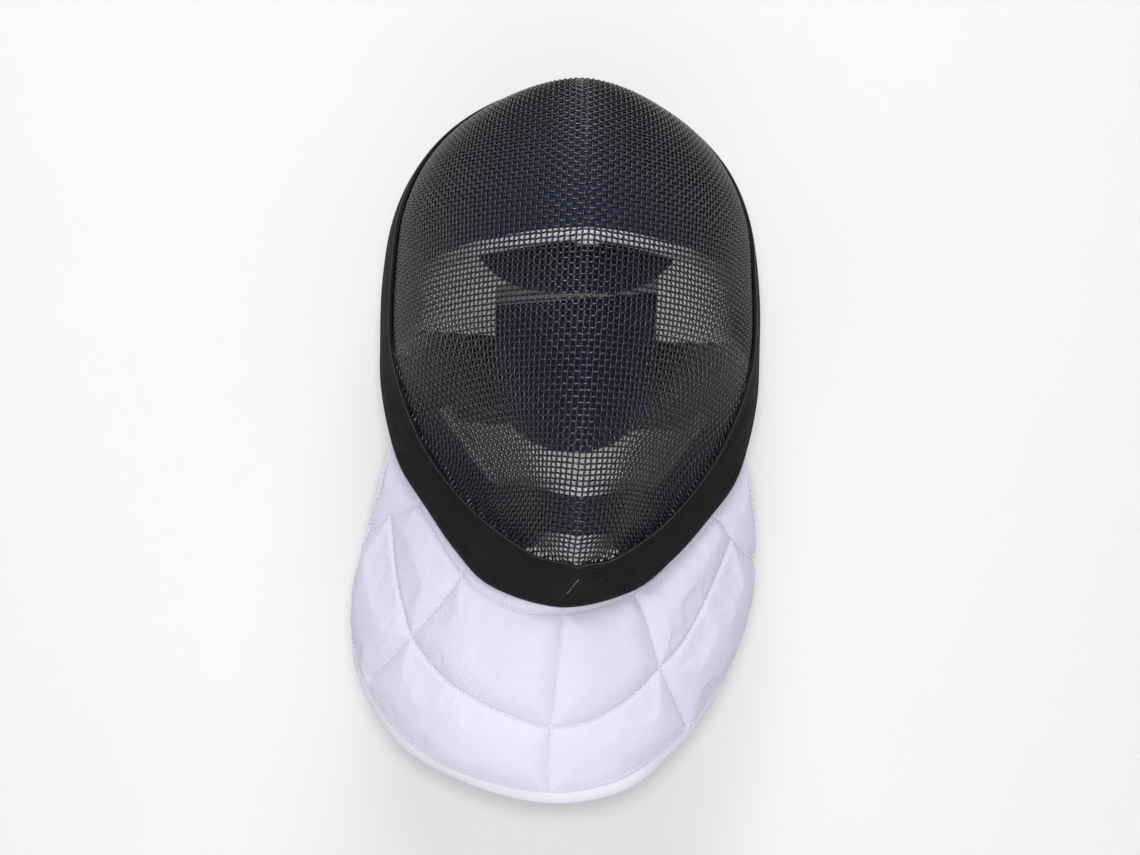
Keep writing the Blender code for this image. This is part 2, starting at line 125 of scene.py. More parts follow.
FLAP_PATH = [(0.0560, -0.0018), (0.0720, -0.0076), (0.0865, -0.0205), (0.0955, -0.0430),
             (0.0985, -0.0720), (0.0975, -0.1060)]

# ---- sizes of what only shows
WIRE = 0.0012             # a wire's diameter
WIRE_END = 0.012          # the wires end under the trim, this far from its outer edge
WEAVE = 0.00334           # from one wire to the next
WARP_SKEW = 0.00014       # how far each row's crossings sit left of those in the row above
WEFT_CRIMP = 0.00062      # how far a wire swings out of the weave's middle
WARP_CRIMP = 0.00056
WARP_RISE = 0.00016       # the upright wires stay out longer than the level ones
WEFT_DROOP = 0.016        # how much v grows along a level wire, from the ridge to the trim
PAD_TUCKED = 0.0085       # each pad's margin under the trim, from the trim's outer edge
PAD_UNDER_TRIM = 0.0048   # and its depth there
PAD_SEAM = 0.0120         # a pad's sewn line on the side towards the head, from its border
RIBS = 14                 # knitted ribs along the trim's flat part
RIB_HEIGHT = 0.00034
HEM_TAPE = 0.0052         # width of the tape on the bib's hem
STITCH = 0.0030           # from one stitch to the next
TOP_SEAM = 0.0046         # the bib's seam below the trim, from the bib's upper edge
BIB_TUCK = (0.0060, 0.0020)   # how far the bib's cloth runs in under the trim's roll, and how far back
FLAP_SEAM = 0.0060        # sewn lines, from the border of the flap and of the tongue
TONGUE_SEAM = 0.0048
TONGUE_TAPE = (-0.0990, -0.1096)   # top and bottom of the tongue's tape
FLAP_HALF = (0.044, 0.056, 0.0585)   # half the flap's width at its top, middle and end
BIB_FULL = 0.0042         # how much higher the bib stands between its seams than in them
BIB_SUNK = 0.0020         # how deep its face lies in the seams
BIB_SHOULDER = 0.0070     # how far from a seam it has most of that height
BIB_FOLD = 0.0005         # height of its uneven folds
PAD_SHOULDER = 0.008      # the same of the pads
PAD_FOLD = 0.0006
PAD_DIPS = (0.0155, 0.0205)   # a pad dips under the trim between these distances from the outer edge
STRAP_LEAVES = (0.008, 0.052)   # the curve's handle where the strap leaves the trim, outwards and back
STRAP_FLAT = 0.090        # and behind the head, sideways
STITCH_RADIUS = 0.00028
STITCH_LENGTH = 0.0019
BIB_STITCH = {"length": 0.0016, "radius": 0.00036}
SELVEDGE_STITCH = {"length": 0.0010, "radius": 0.00022, "pitch": 0.0014}
LOOSE_RADIUS = 0.00018
FILLING = {               # the cloth bags while they are filled with wadding
    "quality": 4,
    "mass": 0.3,
    "tension_stiffness": 15,
    "compression_stiffness": 15,
    "shear_stiffness": 5,
    "bending_stiffness": 3.0,
    "use_pressure": True,
    "uniform_pressure_force": 4.0,
}
FILLING_FRAMES = 16
HELD_BIB = (0.0010, 0.0038)   # the cloth comes free between these distances from a sewn line
HELD_PAD = (0.0008, 0.0045)
HELD_SHEET = (0.0005, 0.0030)
LOOSE_THREAD = (179.9, -0.0085), (178.6, -0.0175)   # its ends: row round the rim, distance out from it
SEAMS = {
    # x and z on the bib's front, in metres, from the top or the left of each seam
    "centre": [(-0.0040, -0.2865), (-0.0060, -0.3170), (-0.0090, -0.3524), (-0.0100, -0.3710),
               (-0.0102, -0.3900)],
    "arc": [(-0.1024, -0.2403), (-0.0977, -0.2744), (-0.0937, -0.2901), (-0.0870, -0.3083),
            (-0.0700, -0.3273), (-0.0513, -0.3384), (-0.0329, -0.3459), (-0.0099, -0.3516),
            (0.0117, -0.3484), (0.0265, -0.3414), (0.0388, -0.3330), (0.0526, -0.3195),
            (0.0672, -0.3040), (0.0829, -0.2748), (0.0945, -0.2491)],
    "left ray": [(-0.0608, -0.2700), (-0.0729, -0.2878), (-0.0881, -0.3065), (-0.1099, -0.3318)],
    "right ray": [(0.0374, -0.2801), (0.0429, -0.2911), (0.0474, -0.3042), (0.0526, -0.3190),
                  (0.0616, -0.3365), (0.0697, -0.3521)],
    "left cheek": [(-0.0856, -0.2324), (-0.1024, -0.2408), (-0.1152, -0.2510)],
    "right cheek": [(0.0822, -0.2337), (0.0897, -0.2401), (0.0944, -0.2469), (0.1042, -0.2562),
                    (0.1110, -0.2600)],
}

# ---- colours, the dark and the light tone
NAVY = (0.012, 0.012, 0.062), (0.028, 0.028, 0.125)
BIB_WHITE = (0.66, 0.64, 0.79), (0.80, 0.78, 0.91)
WHITE_TAPE = (0.78, 0.77, 0.88), (0.88, 0.87, 0.97)
# the tongue's tape: white binding painted grey, as painted shade for its place behind the head
TAPE_PAINTED_SHADE = (0.26, 0.26, 0.30), (0.46, 0.46, 0.50)
ENAMEL = (0.002, 0.002, 0.0025), (0.007, 0.007, 0.008)
KNIT = (0.004, 0.004, 0.0045), (0.026, 0.026, 0.028)
WEBBING = (0.003, 0.003, 0.0035), (0.016, 0.016, 0.018)
STEEL = (0.018, 0.018, 0.020), (0.055, 0.055, 0.058)
PAINT = (0.85, 0.85, 0.85), (0.88, 0.88, 0.88)
THREADS = {
    "white": (0.88, 0.87, 0.96),
    "pale": (0.06, 0.06, 0.065),
    "grey": (0.30, 0.30, 0.30),
    "navy": (0.055, 0.055, 0.20),
    "black": (0.05, 0.05, 0.05),
}

# ---- camera and lights
PIVOT = Vector((0.0, 0.03, -0.1876))    # the middle of the view, in the plane of the mask's outline
DISTANCE = 1.83
YAW = math.radians(3.0)                 # the camera stands to the left of the mask's middle
ROLL = math.radians(1.9)                # and the mask's top leans to the right
FOCAL_SHARE = 3155 / 1140               # focal length over the picture's width
SHIFT = (570 - 567.8) / 1140            # the mask sits this share of the picture left of its middle
WALL_Y = 0.135
FLOOR_Z = -0.75
COVE = 0.30                             # radius between floor and wall
LAMPS = [
    # name, place, size, power, spread in degrees
    ("ahead", (-0.12, -2.20, -0.10), 0.25, 5.3, 90),
    ("front", (-0.30, -1.80, 0.80), 0.6, 4.7, 180),
    ("above", (0.05, -0.95, 1.45), 1.0, 14.7, 180),
]
AIR = 0.285                             # strength of the even light from all round
AIM = Vector((0, 0.0, -0.18))           # what the lamps point at


# ---- curves and surfaces
def smooth_table(table, at, level_first=(), level_last=()):
    """Rows of a table read at fractional places, through a smooth curve."""
    table = np.asarray(table, float)
    slope = np.gradient(table, axis=0)
    slope[0, list(level_first)] = 0.0
    slope[-1, list(level_last)] = 0.0
    at = np.clip(np.asarray(at, float), 0, len(table) - 1)
    low = np.minimum(at.astype(int), len(table) - 2)
    t = (at - low)[..., None]
    return ((2 * t**3 - 3 * t**2 + 1) * table[low] + (t**3 - 2 * t**2 + t) * slope[low]
            + (3 * t**2 - 2 * t**3) * table[low + 1] + (t**3 - t**2) * slope[low + 1])


def unit(vectors):
    """The same directions with length 1."""
    return vectors / np.maximum(np.linalg.norm(vectors, axis=-1, keepdims=True), 1e-9)


def dot(a, b):
    """Scalar products, row by row."""
    return np.sum(a * b, axis=-1, keepdims=True)


def step_up(value, start, end):
    """0 before start, 1 after end, smooth between."""
    t = np.clip((value - start) / (end - start), 0, 1)
    return t * t * (3 - 2 * t)


def curve(t, start, leaving, arriving, end):
    """A cubic curve from start to end with two handles."""
    return (1 - t)**3 * start + 3 * t * (1 - t)**2 * leaving + 3 * t * t * (1 - t) * arriving + t**3 * end


def section(v, side):
    """Ridge, mesh edge and rim points of the rows at v, on one side (1 right, -1 left)."""
    v = np.asarray(v, float)
    row = smooth_table(SECTIONS, v * (len(SECTIONS) - 1), LEVEL_AT_CROWN, LEVEL_AT_CHIN)
    side = np.broadcast_to(side, v.shape)
    ridge = np.stack([np.zeros_like(v), row[..., 0], row[..., 1]], -1)
    edge = np.stack([side * row[..., 2], row[..., 3], row[..., 4]], -1)
    rim = np.stack([side * row[..., 5], row[..., 6], row[..., 7]], -1)
    rim[..., 0] -= CHIN_PULL * step_up(v, 0.72, 1.0)
    return ridge, edge, rim


def shell(v, w):
    """Points on the outside of the wires at v and w."""
    v, w = np.broadcast_arrays(np.asarray(v, float), np.asarray(w, float))
    side = np.where(w < 0, -1.0, 1.0)
    ridge, edge, rim = section(v, side)
    ridge_0, edge_0, _ = section(np.maximum(v - 0.004, 0), side)
    ridge_1, edge_1, _ = section(np.minimum(v + 0.004, 1), side)
    down = unit(ridge_1 - ridge_0)
    inward = np.stack([np.zeros_like(v), -down[..., 2], down[..., 1]], -1)
    across = np.zeros_like(ridge)
    across[..., 0] = side
    half_width = np.abs(edge[..., :1])
    crease = RIDGE_CREASE * step_up(v, 0.06, 0.30) * (1 - step_up(v, 0.90, 0.99))
    reach = ROW_START_CROWN + (ROW_START - ROW_START_CROWN) * step_up(v, 0.0, 0.35)[..., None]
    start = ridge + reach * half_width * (across + np.tan(crease)[..., None] * inward)
    # the row meets the trim in its own plane, so that it stays level when seen from the front
    back = edge - ridge
    back[..., 0] = 0
    depth = np.linalg.norm(back, axis=-1, keepdims=True)
    plane = np.cross(across, unit(back))
    out = unit(rim - edge)
    along = unit(edge_1 - edge_0)
    leaving = unit(out * dot(along, plane) - along * dot(out, plane))
    leaving *= np.sign(dot(leaving, out))
    end = edge - ROW_END * depth * leaving
    t = np.minimum(np.abs(w), 1)[..., None]
    return curve(t, ridge, start, end, edge) + np.maximum(np.abs(w) - 1, 0)[..., None] * (rim - edge)


def shell_normal(v, w):
    """The shell's outward direction at v and w."""
    v, w = np.broadcast_arrays(np.asarray(v, float), np.asarray(w, float))
    d = 0.004
    v0, v1 = np.clip(v - d, 0, 1), np.clip(v + d, 0, 1)
    along = unit(shell(v1, w) - shell(v0, w))
    round_face = unit(shell(v, w + d) - shell(v, w - d))
    return unit(np.cross(along, round_face))


def beneath(v, w, depth):
    """Points at this depth under the outside of the wires."""
    return shell(v, w) - depth * shell_normal(v, w)


def rim_side(v, distance):
    """The w that lies this far inside the trim's outer edge."""
    _, edge, rim = section(v, 1)
    return 2 - distance / np.linalg.norm(rim - edge, axis=-1)


def arm_side(v, width):
    """The w at this distance from the pads' outer margin, measured over the shell."""
    steps = np.linspace(0, 1, 60)
    result = []
    for row in np.atleast_1d(v):
        w = steps * rim_side(row, PAD_MARGIN)
        run = np.linalg.norm(np.diff(shell(row, w), axis=0), axis=1)[::-1].cumsum()
        result.append(np.interp(width, np.concatenate([[0], run]), w[::-1]))
    return np.array(result)


def bib_surface(u, t):
    """The bib's outside: u from -1 (left) over 0 (chin) to 1, t from the rim (0) to the hem (1).

    From t = -1 to 0 the cloth runs in under the trim.
    """
    u, t = np.broadcast_arrays(np.asarray(u, float), np.asarray(t, float))
    side = np.where(u < 0, -1.0, 1.0)
    share = np.abs(u)
    v = BIB_START + (BIB_END - BIB_START) * share
    _, edge, rim = section(v, side)
    rim_before = section(v - 0.004, side)[2]
    out = unit(rim - edge)
    normal = unit(np.cross(unit(rim - rim_before) * side[..., None], out))
    top = rim + (TRIM_BEAD + 0.0012) * out - 0.0030 * normal
    hem = smooth_table(HEM, share * (len(HEM) - 1), level_first=(1, 2))
    hem = hem * np.stack([side, np.ones_like(u), np.ones_like(u)], -1)
    bulge = unit(np.stack([hem[..., 0], -0.09 * np.cos(share * 1.45), np.zeros_like(u)], -1))
    middle = (top + hem) / 2 + BIB_BULGE * bulge
    tucked = np.minimum(t, 0)[..., None] * (BIB_TUCK[0] * out + BIB_TUCK[1] * normal)
    t = np.maximum(t, 0)[..., None]
    points = (1 - t)**2 * top + 2 * t * (1 - t) * middle + t * t * hem + tucked
    down = -points[..., 2]
    points[..., 0] += BIB_LEAN * step_up(down, 0.215, 0.375) + BIB_RETURN * step_up(down, 0.370, 0.395)
    return points


def grid_normal(grid):
    """Directions square to a grid of points."""
    return unit(np.cross(np.gradient(grid, axis=0), np.gradient(grid, axis=1)))


def arc_lengths(points):
    """Length run so far at each point of a line."""
    steps = np.linalg.norm(np.diff(points, axis=0), axis=1)
    return np.concatenate([[0.0], np.cumsum(steps)])


def read_line(points, run, at):
    """Points of a line at the given lengths."""
    return np.stack([np.interp(at, run, points[:, k]) for k in range(points.shape[1])], axis=-1)


def ripple(x, y, z):
    """A smooth uneven value between about -1 and 1, for soft folds."""
    return (np.sin(61 * x + 17 * z + 1.3) * np.sin(43 * z - 23 * y + 0.4)
            + 0.6 * np.sin(97 * x - 41 * z + 2.1) * np.sin(71 * z + 37 * x)) / 1.6


# ---- meshes
def add_object(name, data):
    """A new object in the scene."""
    made = bpy.data.objects.new(name, data)
    bpy.context.scene.collection.objects.link(made)
    return made


def mesh_object(name, points, faces, finish, uv, sharp=None):
    """A smooth piece that rides with the mask; uv gives each point its place in metres."""
    if not isinstance(faces, list):
        faces = faces.tolist()
    mesh = bpy.data.meshes.new(name)
    mesh.from_pydata(np.asarray(points, float).tolist(), [], faces)
    layer = mesh.uv_layers.new(name="metres")
    corners = np.empty(len(mesh.loops), dtype=np.int32)
    mesh.loops.foreach_get("vertex_index", corners)
    layer.data.foreach_set("uv", np.asarray(uv, np.float32)[corners].ravel())
    mesh.materials.append(finish)
    mesh.shade_smooth()
    if sharp:
        mesh.set_sharp_from_angle(angle=math.radians(sharp))
    mesh.validate()
    made = add_object(name, mesh)
    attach(made, "root")
    return made


def grid_quads(rows, columns, wrap_rows=False, wrap_columns=False, start=0):
    """Faces over a grid of points, closed into a ring where asked."""
    i = np.arange(rows if wrap_rows else rows - 1)[:, None]
    j = np.arange(columns if wrap_columns else columns - 1)[None, :]
    i2, j2 = (i + 1) % rows, (j + 1) % columns
    corners = i * columns + j, i * columns + j2, i2 * columns + j2, i2 * columns + j
    return np.stack(np.broadcast_arrays(*corners), -1).reshape(-1, 4) + start


def tubes(name, lines, radius, finish, sides=5):
    """Round wires as one piece; each line is points and the directions out of the surface."""
    angles = np.arange(sides) * 2 * math.pi / sides
    points, quads, uv, start = [], [], [], 0
    for line, normals in lines:
        along = unit(np.gradient(line, axis=0))
        across = unit(np.cross(along, normals))
        up = np.cross(across, along)
        ring = np.cos(angles)[None, :, None] * across[:, None] + np.sin(angles)[None, :, None] * up[:, None]
        points.append((line[:, None] + radius * ring).reshape(-1, 3))
        quads.append(grid_quads(len(line), sides, wrap_columns=True, start=start))
        run = np.repeat(arc_lengths(line), sides)
        uv.append(np.stack([run, np.tile(angles * radius, len(line))], -1))
        start += len(line) * sides
    return mesh_object(name, np.concatenate(points), np.concatenate(quads), finish, np.concatenate(uv))


def grid_uv(grid):
    """Lengths over a grid of points, in metres, along both of its directions."""
    down = np.linalg.norm(np.diff(grid, axis=0), axis=2)
    over = np.linalg.norm(np.diff(grid, axis=1), axis=2)
    u = np.concatenate([np.zeros((1, grid.shape[1])), np.cumsum(down, axis=0)])
    v = np.concatenate([np.zeros((grid.shape[0], 1)), np.cumsum(over, axis=1)], axis=1)
    return np.stack([u - u[len(u) // 2], v - v[:, v.shape[1] // 2, None]], -1)


def at_places(grid, places):
    """Values of a grid at fractional row and column places."""
    i, j = (np.clip(places[:, k], 0, grid.shape[k] - 1.001) for k in (0, 1))
    a, b = i.astype(int), j.astype(int)
    p, q = (i - a)[:, None], (j - b)[:, None]
    return ((1 - p) * (1 - q) * grid[a, b] + p * (1 - q) * grid[a + 1, b]
            + (1 - p) * q * grid[a, b + 1] + p * q * grid[a + 1, b + 1])


def grid_ring(rows, columns):
    """Row and column of each border point of a grid, once round."""
    places = [(0, j) for j in range(columns)] + [(i, columns - 1) for i in range(1, rows)]
    places += [(rows - 1, j) for j in range(columns - 2, -1, -1)] + [(i, 0) for i in range(rows - 2, 0, -1)]
    return np.array(places).T


def search_tree(points):
    """The points, ready to be searched for the nearest one."""
    tree = KDTree(len(points))
    for n, point in enumerate(points):
        tree.insert(point, n)
    tree.balance()
    return tree


def border_distance(grid):
    """Rough distance of each point of a grid from the grid's border, over the surface."""
    uv = grid_uv(grid)
    u, v = uv[..., 0], uv[..., 1]
    return np.minimum(np.minimum(u - u[:1], u[-1:] - u), np.minimum(v - v[:, :1], v[:, -1:] - v))


def cushion(name, middle, thick, finish, slot, edge=0.3, swell=0.010, bulge=0.0, seam=None):
    """A closed padded sheet about a middle surface: full inside and pinched to a thin edge.

    With a seam it is filled like a cloth bag that is sewn at this distance from its border.
    """
    normal = grid_normal(middle)
    away = border_distance(middle)
    fullness = edge + (1 - edge) * (1 - np.exp(-(away / swell) ** 1.3))
    puff = 1 + bulge * ripple(middle[..., 0], middle[..., 1], middle[..., 2])
    half = (thick / 2 * fullness * puff)[..., None]
    faces = middle + half * normal, middle - half * normal
    if seam is not None:
        held = 1 - step_up(np.minimum(away, np.abs(away - seam)), *HELD_SHEET)
        faces = filled(faces, (held, held), limit=0.0025)
    return closed_pair(name, *faces, finish, slot, middle)


def closed_pair(name, outer, inner, finish, slot, flat):
    """A closed mesh between two grids, with a rounded rim. flat gives the grid its uv lengths."""
    rows, columns = outer.shape[:2]
    count = rows * columns
    i, j = grid_ring(rows, columns)
    ring = i * columns + j
    middle = (outer[i, j] + inner[i, j]) / 2
    thickness = np.linalg.norm(outer[i, j] - inner[i, j], axis=1, keepdims=True)
    next_in = np.clip(i, 1, rows - 2), np.clip(j, 1, columns - 2)
    middle = middle + 0.35 * thickness * unit(middle - (outer[next_in] + inner[next_in]) / 2)
    middle_ring = 2 * count + np.arange(len(ring))
    after = np.roll(np.arange(len(ring)), -1)
    top = grid_quads(rows, columns)
    bottom = top[:, ::-1] + count
    skirt_a = np.stack([ring, middle_ring, middle_ring[after], ring[after]], -1)
    skirt_b = np.stack([middle_ring, ring + count, ring[after] + count, middle_ring[after]], -1)
    points = np.concatenate([outer.reshape(-1, 3), inner.reshape(-1, 3), middle])
    flat_uv = grid_uv(flat)
    uv = np.concatenate([flat_uv.reshape(-1, 2), flat_uv.reshape(-1, 2), flat_uv[i, j]])
    return mesh_object(name, points, np.concatenate([top, bottom, skirt_a, skirt_b]), finish, uv)


def band(name, loops, finish, ring=False):
    """A swept piece through closed sections, with its ends filled unless it is a ring."""
    loops = np.asarray(loops)
    rows, columns = loops.shape[:2]
    faces = grid_quads(rows, columns, wrap_rows=ring, wrap_columns=True).tolist()
    if not ring:
        faces += [list(range(columns))[::-1], list(range((rows - 1) * columns, rows * columns))]
    run = arc_lengths(loops.mean(axis=1))[:, None]
    steps = np.linalg.norm(np.diff(loops, axis=1), axis=2)
    around = np.concatenate([np.zeros((rows, 1)), np.cumsum(steps, axis=1)], axis=1)
    uv = np.stack([np.broadcast_to(run, around.shape), around], -1).reshape(-1, 2)
    return mesh_object(name, loops.reshape(-1, 3), faces, finish, uv, sharp=60)


def stitch_run(line, normals, length=STITCH_LENGTH, radius=STITCH_RADIUS, pitch=STITCH):
    """Short raised threads along a line, as tube lines."""
    run = arc_lengths(line)
    stitches = []
    for start in np.arange(pitch * 0.3, run[-1] - length, pitch):
        at = start + length * np.array([0.0, 0.22, 0.5, 0.78, 1.0])
        points = read_line(line, run, at)
        out = unit(read_line(normals, run, at))
        height = radius * np.array([-0.9, 0.5, 0.9, 0.5, -0.9])[:, None]
        stitches.append((points + height * out, out))
    return stitches


def sewn_line(surface, face, outward, distance, far=False):
    """Stitches on a face of a grid, at this distance from its first column or its last."""
    uv = grid_uv(surface)
    run = uv[..., 1] - uv[:, :1, 1]
    at = run[:, -1] - distance if far else np.full(len(run), distance)
    columns = [np.interp(a, r, np.arange(len(r))) for a, r in zip(at, run)]
    down = np.abs(uv[:, surface.shape[1] // 2, 0] - uv[0, surface.shape[1] // 2, 0])
    keep = (down > distance) & (down < down[-1] - distance)
    places = np.stack([np.arange(len(run)), columns], -1)[keep]
    return stitch_run(at_places(face, places), unit(at_places(outward, places)))


def border_stitches(surface, made, distance):
    """Stitches round both faces of a padded grid, at this distance from its border."""
    points = np.empty(len(made.data.vertices) * 3, dtype=np.float32)
    made.data.vertices.foreach_get("co", points)
    faces = points.reshape(-1, 3)[:2 * surface[..., 0].size].reshape(2, *surface.shape)
    normal = grid_normal(surface)
    runs = []
    for face, outward in zip(faces, (normal, -normal)):
        for grids in ((surface, face, outward), [g.transpose(1, 0, 2) for g in (surface, face, outward)]):
            runs += [sewn_line(*grids, distance, far=far) for far in (False, True)]
    return runs


def stitches(name, runs, finish, slot, radius=STITCH_RADIUS):
    """All stitches of some sewn lines as one piece."""
    tubes(name, [stitch for run in runs for stitch in run], radius, finish)


# ---- materials
def node(tree, kind, inputs=None, **settings):
    """A shader node; each input gets a value or another node's output."""
    made = tree.nodes.new("ShaderNode" + kind)
    for key, value in settings.items():
        setattr(made, key, value)
    for key, value in (inputs or {}).items():
        if isinstance(value, bpy.types.NodeSocket):
            tree.links.new(value, made.inputs[key])
        else:
            made.inputs[key].default_value = value
    return made


def sums(tree, operation, a, b=0.0):
    """One step of arithmetic."""
    return node(tree, "Math", {0: a, 1: b}, operation=operation).outputs[0]


def weighted(tree, *terms):
    """The sum of outputs, each times its weight."""
    total = None
    for value, weight in terms:
        part = sums(tree, "MULTIPLY", value, weight)
        total = part if total is None else sums(tree, "ADD", total, part)
    return total


def waves(tree, length, half_wave):
    """A sine over a length, with this far from one zero to the next."""
    return sums(tree, "SINE", sums(tree, "MULTIPLY", length, math.pi / half_wave))


def shader_of(name, roughness, specular, sheen=0.0, metallic=0.0):
    """A new material, its nodes and its shader."""
    made = bpy.data.materials.new(name)
    made.use_nodes = True
    shader = made.node_tree.nodes["Principled BSDF"]
    values = {"Roughness": roughness, "Specular IOR Level": specular, "Metallic": metallic}
    if sheen:
        values.update({"Sheen Weight": sheen, "Sheen Roughness": 0.5})
    for key, value in values.items():
        shader.inputs[key].default_value = value
    return made, made.node_tree, shader


def noise(tree, scale, detail=3.0, roughness=0.55):
    """Uneven values over the piece."""
    place = node(tree, "TexCoord").outputs["Object"]
    inputs = {"Vector": place, "Scale": scale, "Detail": detail, "Roughness": roughness}
    return node(tree, "TexNoise", inputs).outputs["Fac"]


def tint(tree, shader, factor, tones):
    """A base colour between a dark and a light tone."""
    dark, light = tones
    mixed = node(tree, "Mix", {0: factor, 6: (*dark, 1), 7: (*light, 1)}, data_type="RGBA")
    tree.links.new(mixed.outputs[2], shader.inputs["Base Color"])


def bump(tree, shader, height, distance):
    """Fine relief of the surface."""
    made = node(tree, "Bump", {"Height": height, "Distance": distance, "Strength": 1.0})
    tree.links.new(made.outputs["Normal"], shader.inputs["Normal"])
    return made


def weave(tree, thread_u, thread_v):
    """A plain weave over the piece's uv with threads of these widths, and the second length."""
    place = node(tree, "UVMap", uv_map="metres").outputs["UV"]
    along, across, _ = node(tree, "SeparateXYZ", {0: place}).outputs
    return sums(tree, "MULTIPLY", waves(tree, along, thread_u), waves(tree, across, thread_v)), across


def cloth(name, tones, threads=0.0005, depth=0.0002, sheen=0.1, crease=0.0):
    """Woven cloth: threads one way and the other, uneven tone, soft creases and a sheen."""
    made, tree, shader = shader_of(name, 0.9, 0.25, sheen)
    over, _ = weave(tree, threads, threads)
    tone = weighted(tree, (noise(tree, 30.0, 4.0), 0.6), (over, 0.1))
    tint(tree, shader, sums(tree, "ADD", tone, 0.2), tones)
    relief = [(over, 0.5), (noise(tree, 1800.0, 2.0), 0.6)]
    if crease:
        relief.append((noise(tree, 110.0, 3.0, 0.5), crease))
    bump(tree, shader, weighted(tree, *relief), depth)
    return made


def bib_cloth():
    """Fine white cotton with a violet cast; it sinks where it is sewn, and its colour is painted darker
    there as shade in the seams.
    """
    made, tree, shader = shader_of("bib_cloth", 0.9, 0.2, sheen=0.1)
    over, _ = weave(tree, 0.00075, 0.00075)
    away = node(tree, "Attribute", attribute_name="seam_away").outputs["Fac"]
    full = node(tree, "MapRange", {"Value": away, "From Max": 0.0018}, interpolation_type="SMOOTHSTEP")
    full = full.outputs[0]
    # painted shade: through full, the tone gets darker towards the seams
    tint(tree, shader, weighted(tree, (noise(tree, 24.0, 4.0), 0.5), (over, 0.3), (full, 0.25)), BIB_WHITE)
    creases = noise(tree, 190.0, 4.0, 0.5)
    bump(tree, shader, weighted(tree, (over, 0.22), (creases, 0.25), (full, 1.0)), 0.0004)
    return made


def coated_wire():
    """Black enamel on steel wire, a little uneven and worn."""
    made, tree, shader = shader_of("wire_enamel", 0.3, 0.7)
    worn = noise(tree, 420.0, 4.0)
    tint(tree, shader, worn, ENAMEL)
    rough = node(tree, "MapRange", {"Value": worn, "To Min": 0.24, "To Max": 0.36})
    tree.links.new(rough.outputs[0], shader.inputs["Roughness"])
    bump(tree, shader, noise(tree, 1400.0, 2.0), 0.00001)
    return made


def knit_elastic():
    """Black knit elastic: fine courses across the ribs."""
    made, tree, shader = shader_of("knit_elastic", 0.75, 0.15, sheen=0.02)
    over, across = weave(tree, 0.0008, 0.0008)
    ribs = waves(tree, across, 0.0009)
    tint(tree, shader, weighted(tree, (noise(tree, 60.0, 4.0), 0.5), (over, 0.25), (ribs, 0.3)), KNIT)
    bump(tree, shader, sums(tree, "ADD", over, noise(tree, 1500.0, 2.0)), 0.00009)
    return made


def webbing():
    """Wide woven elastic with lengthwise cords."""
    made, tree, shader = shader_of("elastic_webbing", 0.8, 0.2, sheen=0.05)
    over, across = weave(tree, 0.0011, 0.0007)
    cords = waves(tree, across, 0.0013)
    tint(tree, shader, weighted(tree, (noise(tree, 80.0, 3.0), 1.0), (over, 0.2), (cords, 0.5)), WEBBING)
    bump(tree, shader, weighted(tree, (cords, 0.5), (over, 0.4)), 0.0003)
    return made


def spring_steel():
    """Blackened spring strip with softened edges."""
    made, tree, shader = shader_of("spring_steel", 0.42, 0.5, metallic=0.4)
    tint(tree, shader, noise(tree, 160.0, 5.0), STEEL)
    grain = bump(tree, shader, noise(tree, 900.0, 2.0), 0.00005)
    soft = node(tree, "Bevel", {"Radius": 0.006}, samples=8)
    tree.links.new(soft.outputs["Normal"], grain.inputs["Normal"])
    return made


def thread(tone):
    """Twisted sewing thread."""
    made, tree, shader = shader_of(tone + "_thread", 0.75, 0.3, sheen=0.2)
    over, _ = weave(tree, 0.0003, 0.0004)
    light = THREADS[tone]
    tint(tree, shader, noise(tree, 700.0, 2.0), ([0.85 * c for c in light], light))
    bump(tree, shader, over, 0.00005)
    return made


# ---- the wires
def weft_run(v_ridge):
    """v and w along one level wire, from its left end to its right end."""
    w = np.concatenate([np.linspace(0, 1, 160)[:-1], np.linspace(1, 2, 40)])
    droop = WEFT_DROOP * step_up(v_ridge, 0.05, 0.35) * (1 - step_up(v_ridge, 0.62, 0.82))
    v = np.minimum(v_ridge + droop * np.minimum(w, 1)**3, 1)
    inside = w < rim_side(v, WIRE_END)
    v, w = v[inside], w[inside]
    return np.concatenate([v[:0:-1], v]), np.concatenate([-w[:0:-1], w])


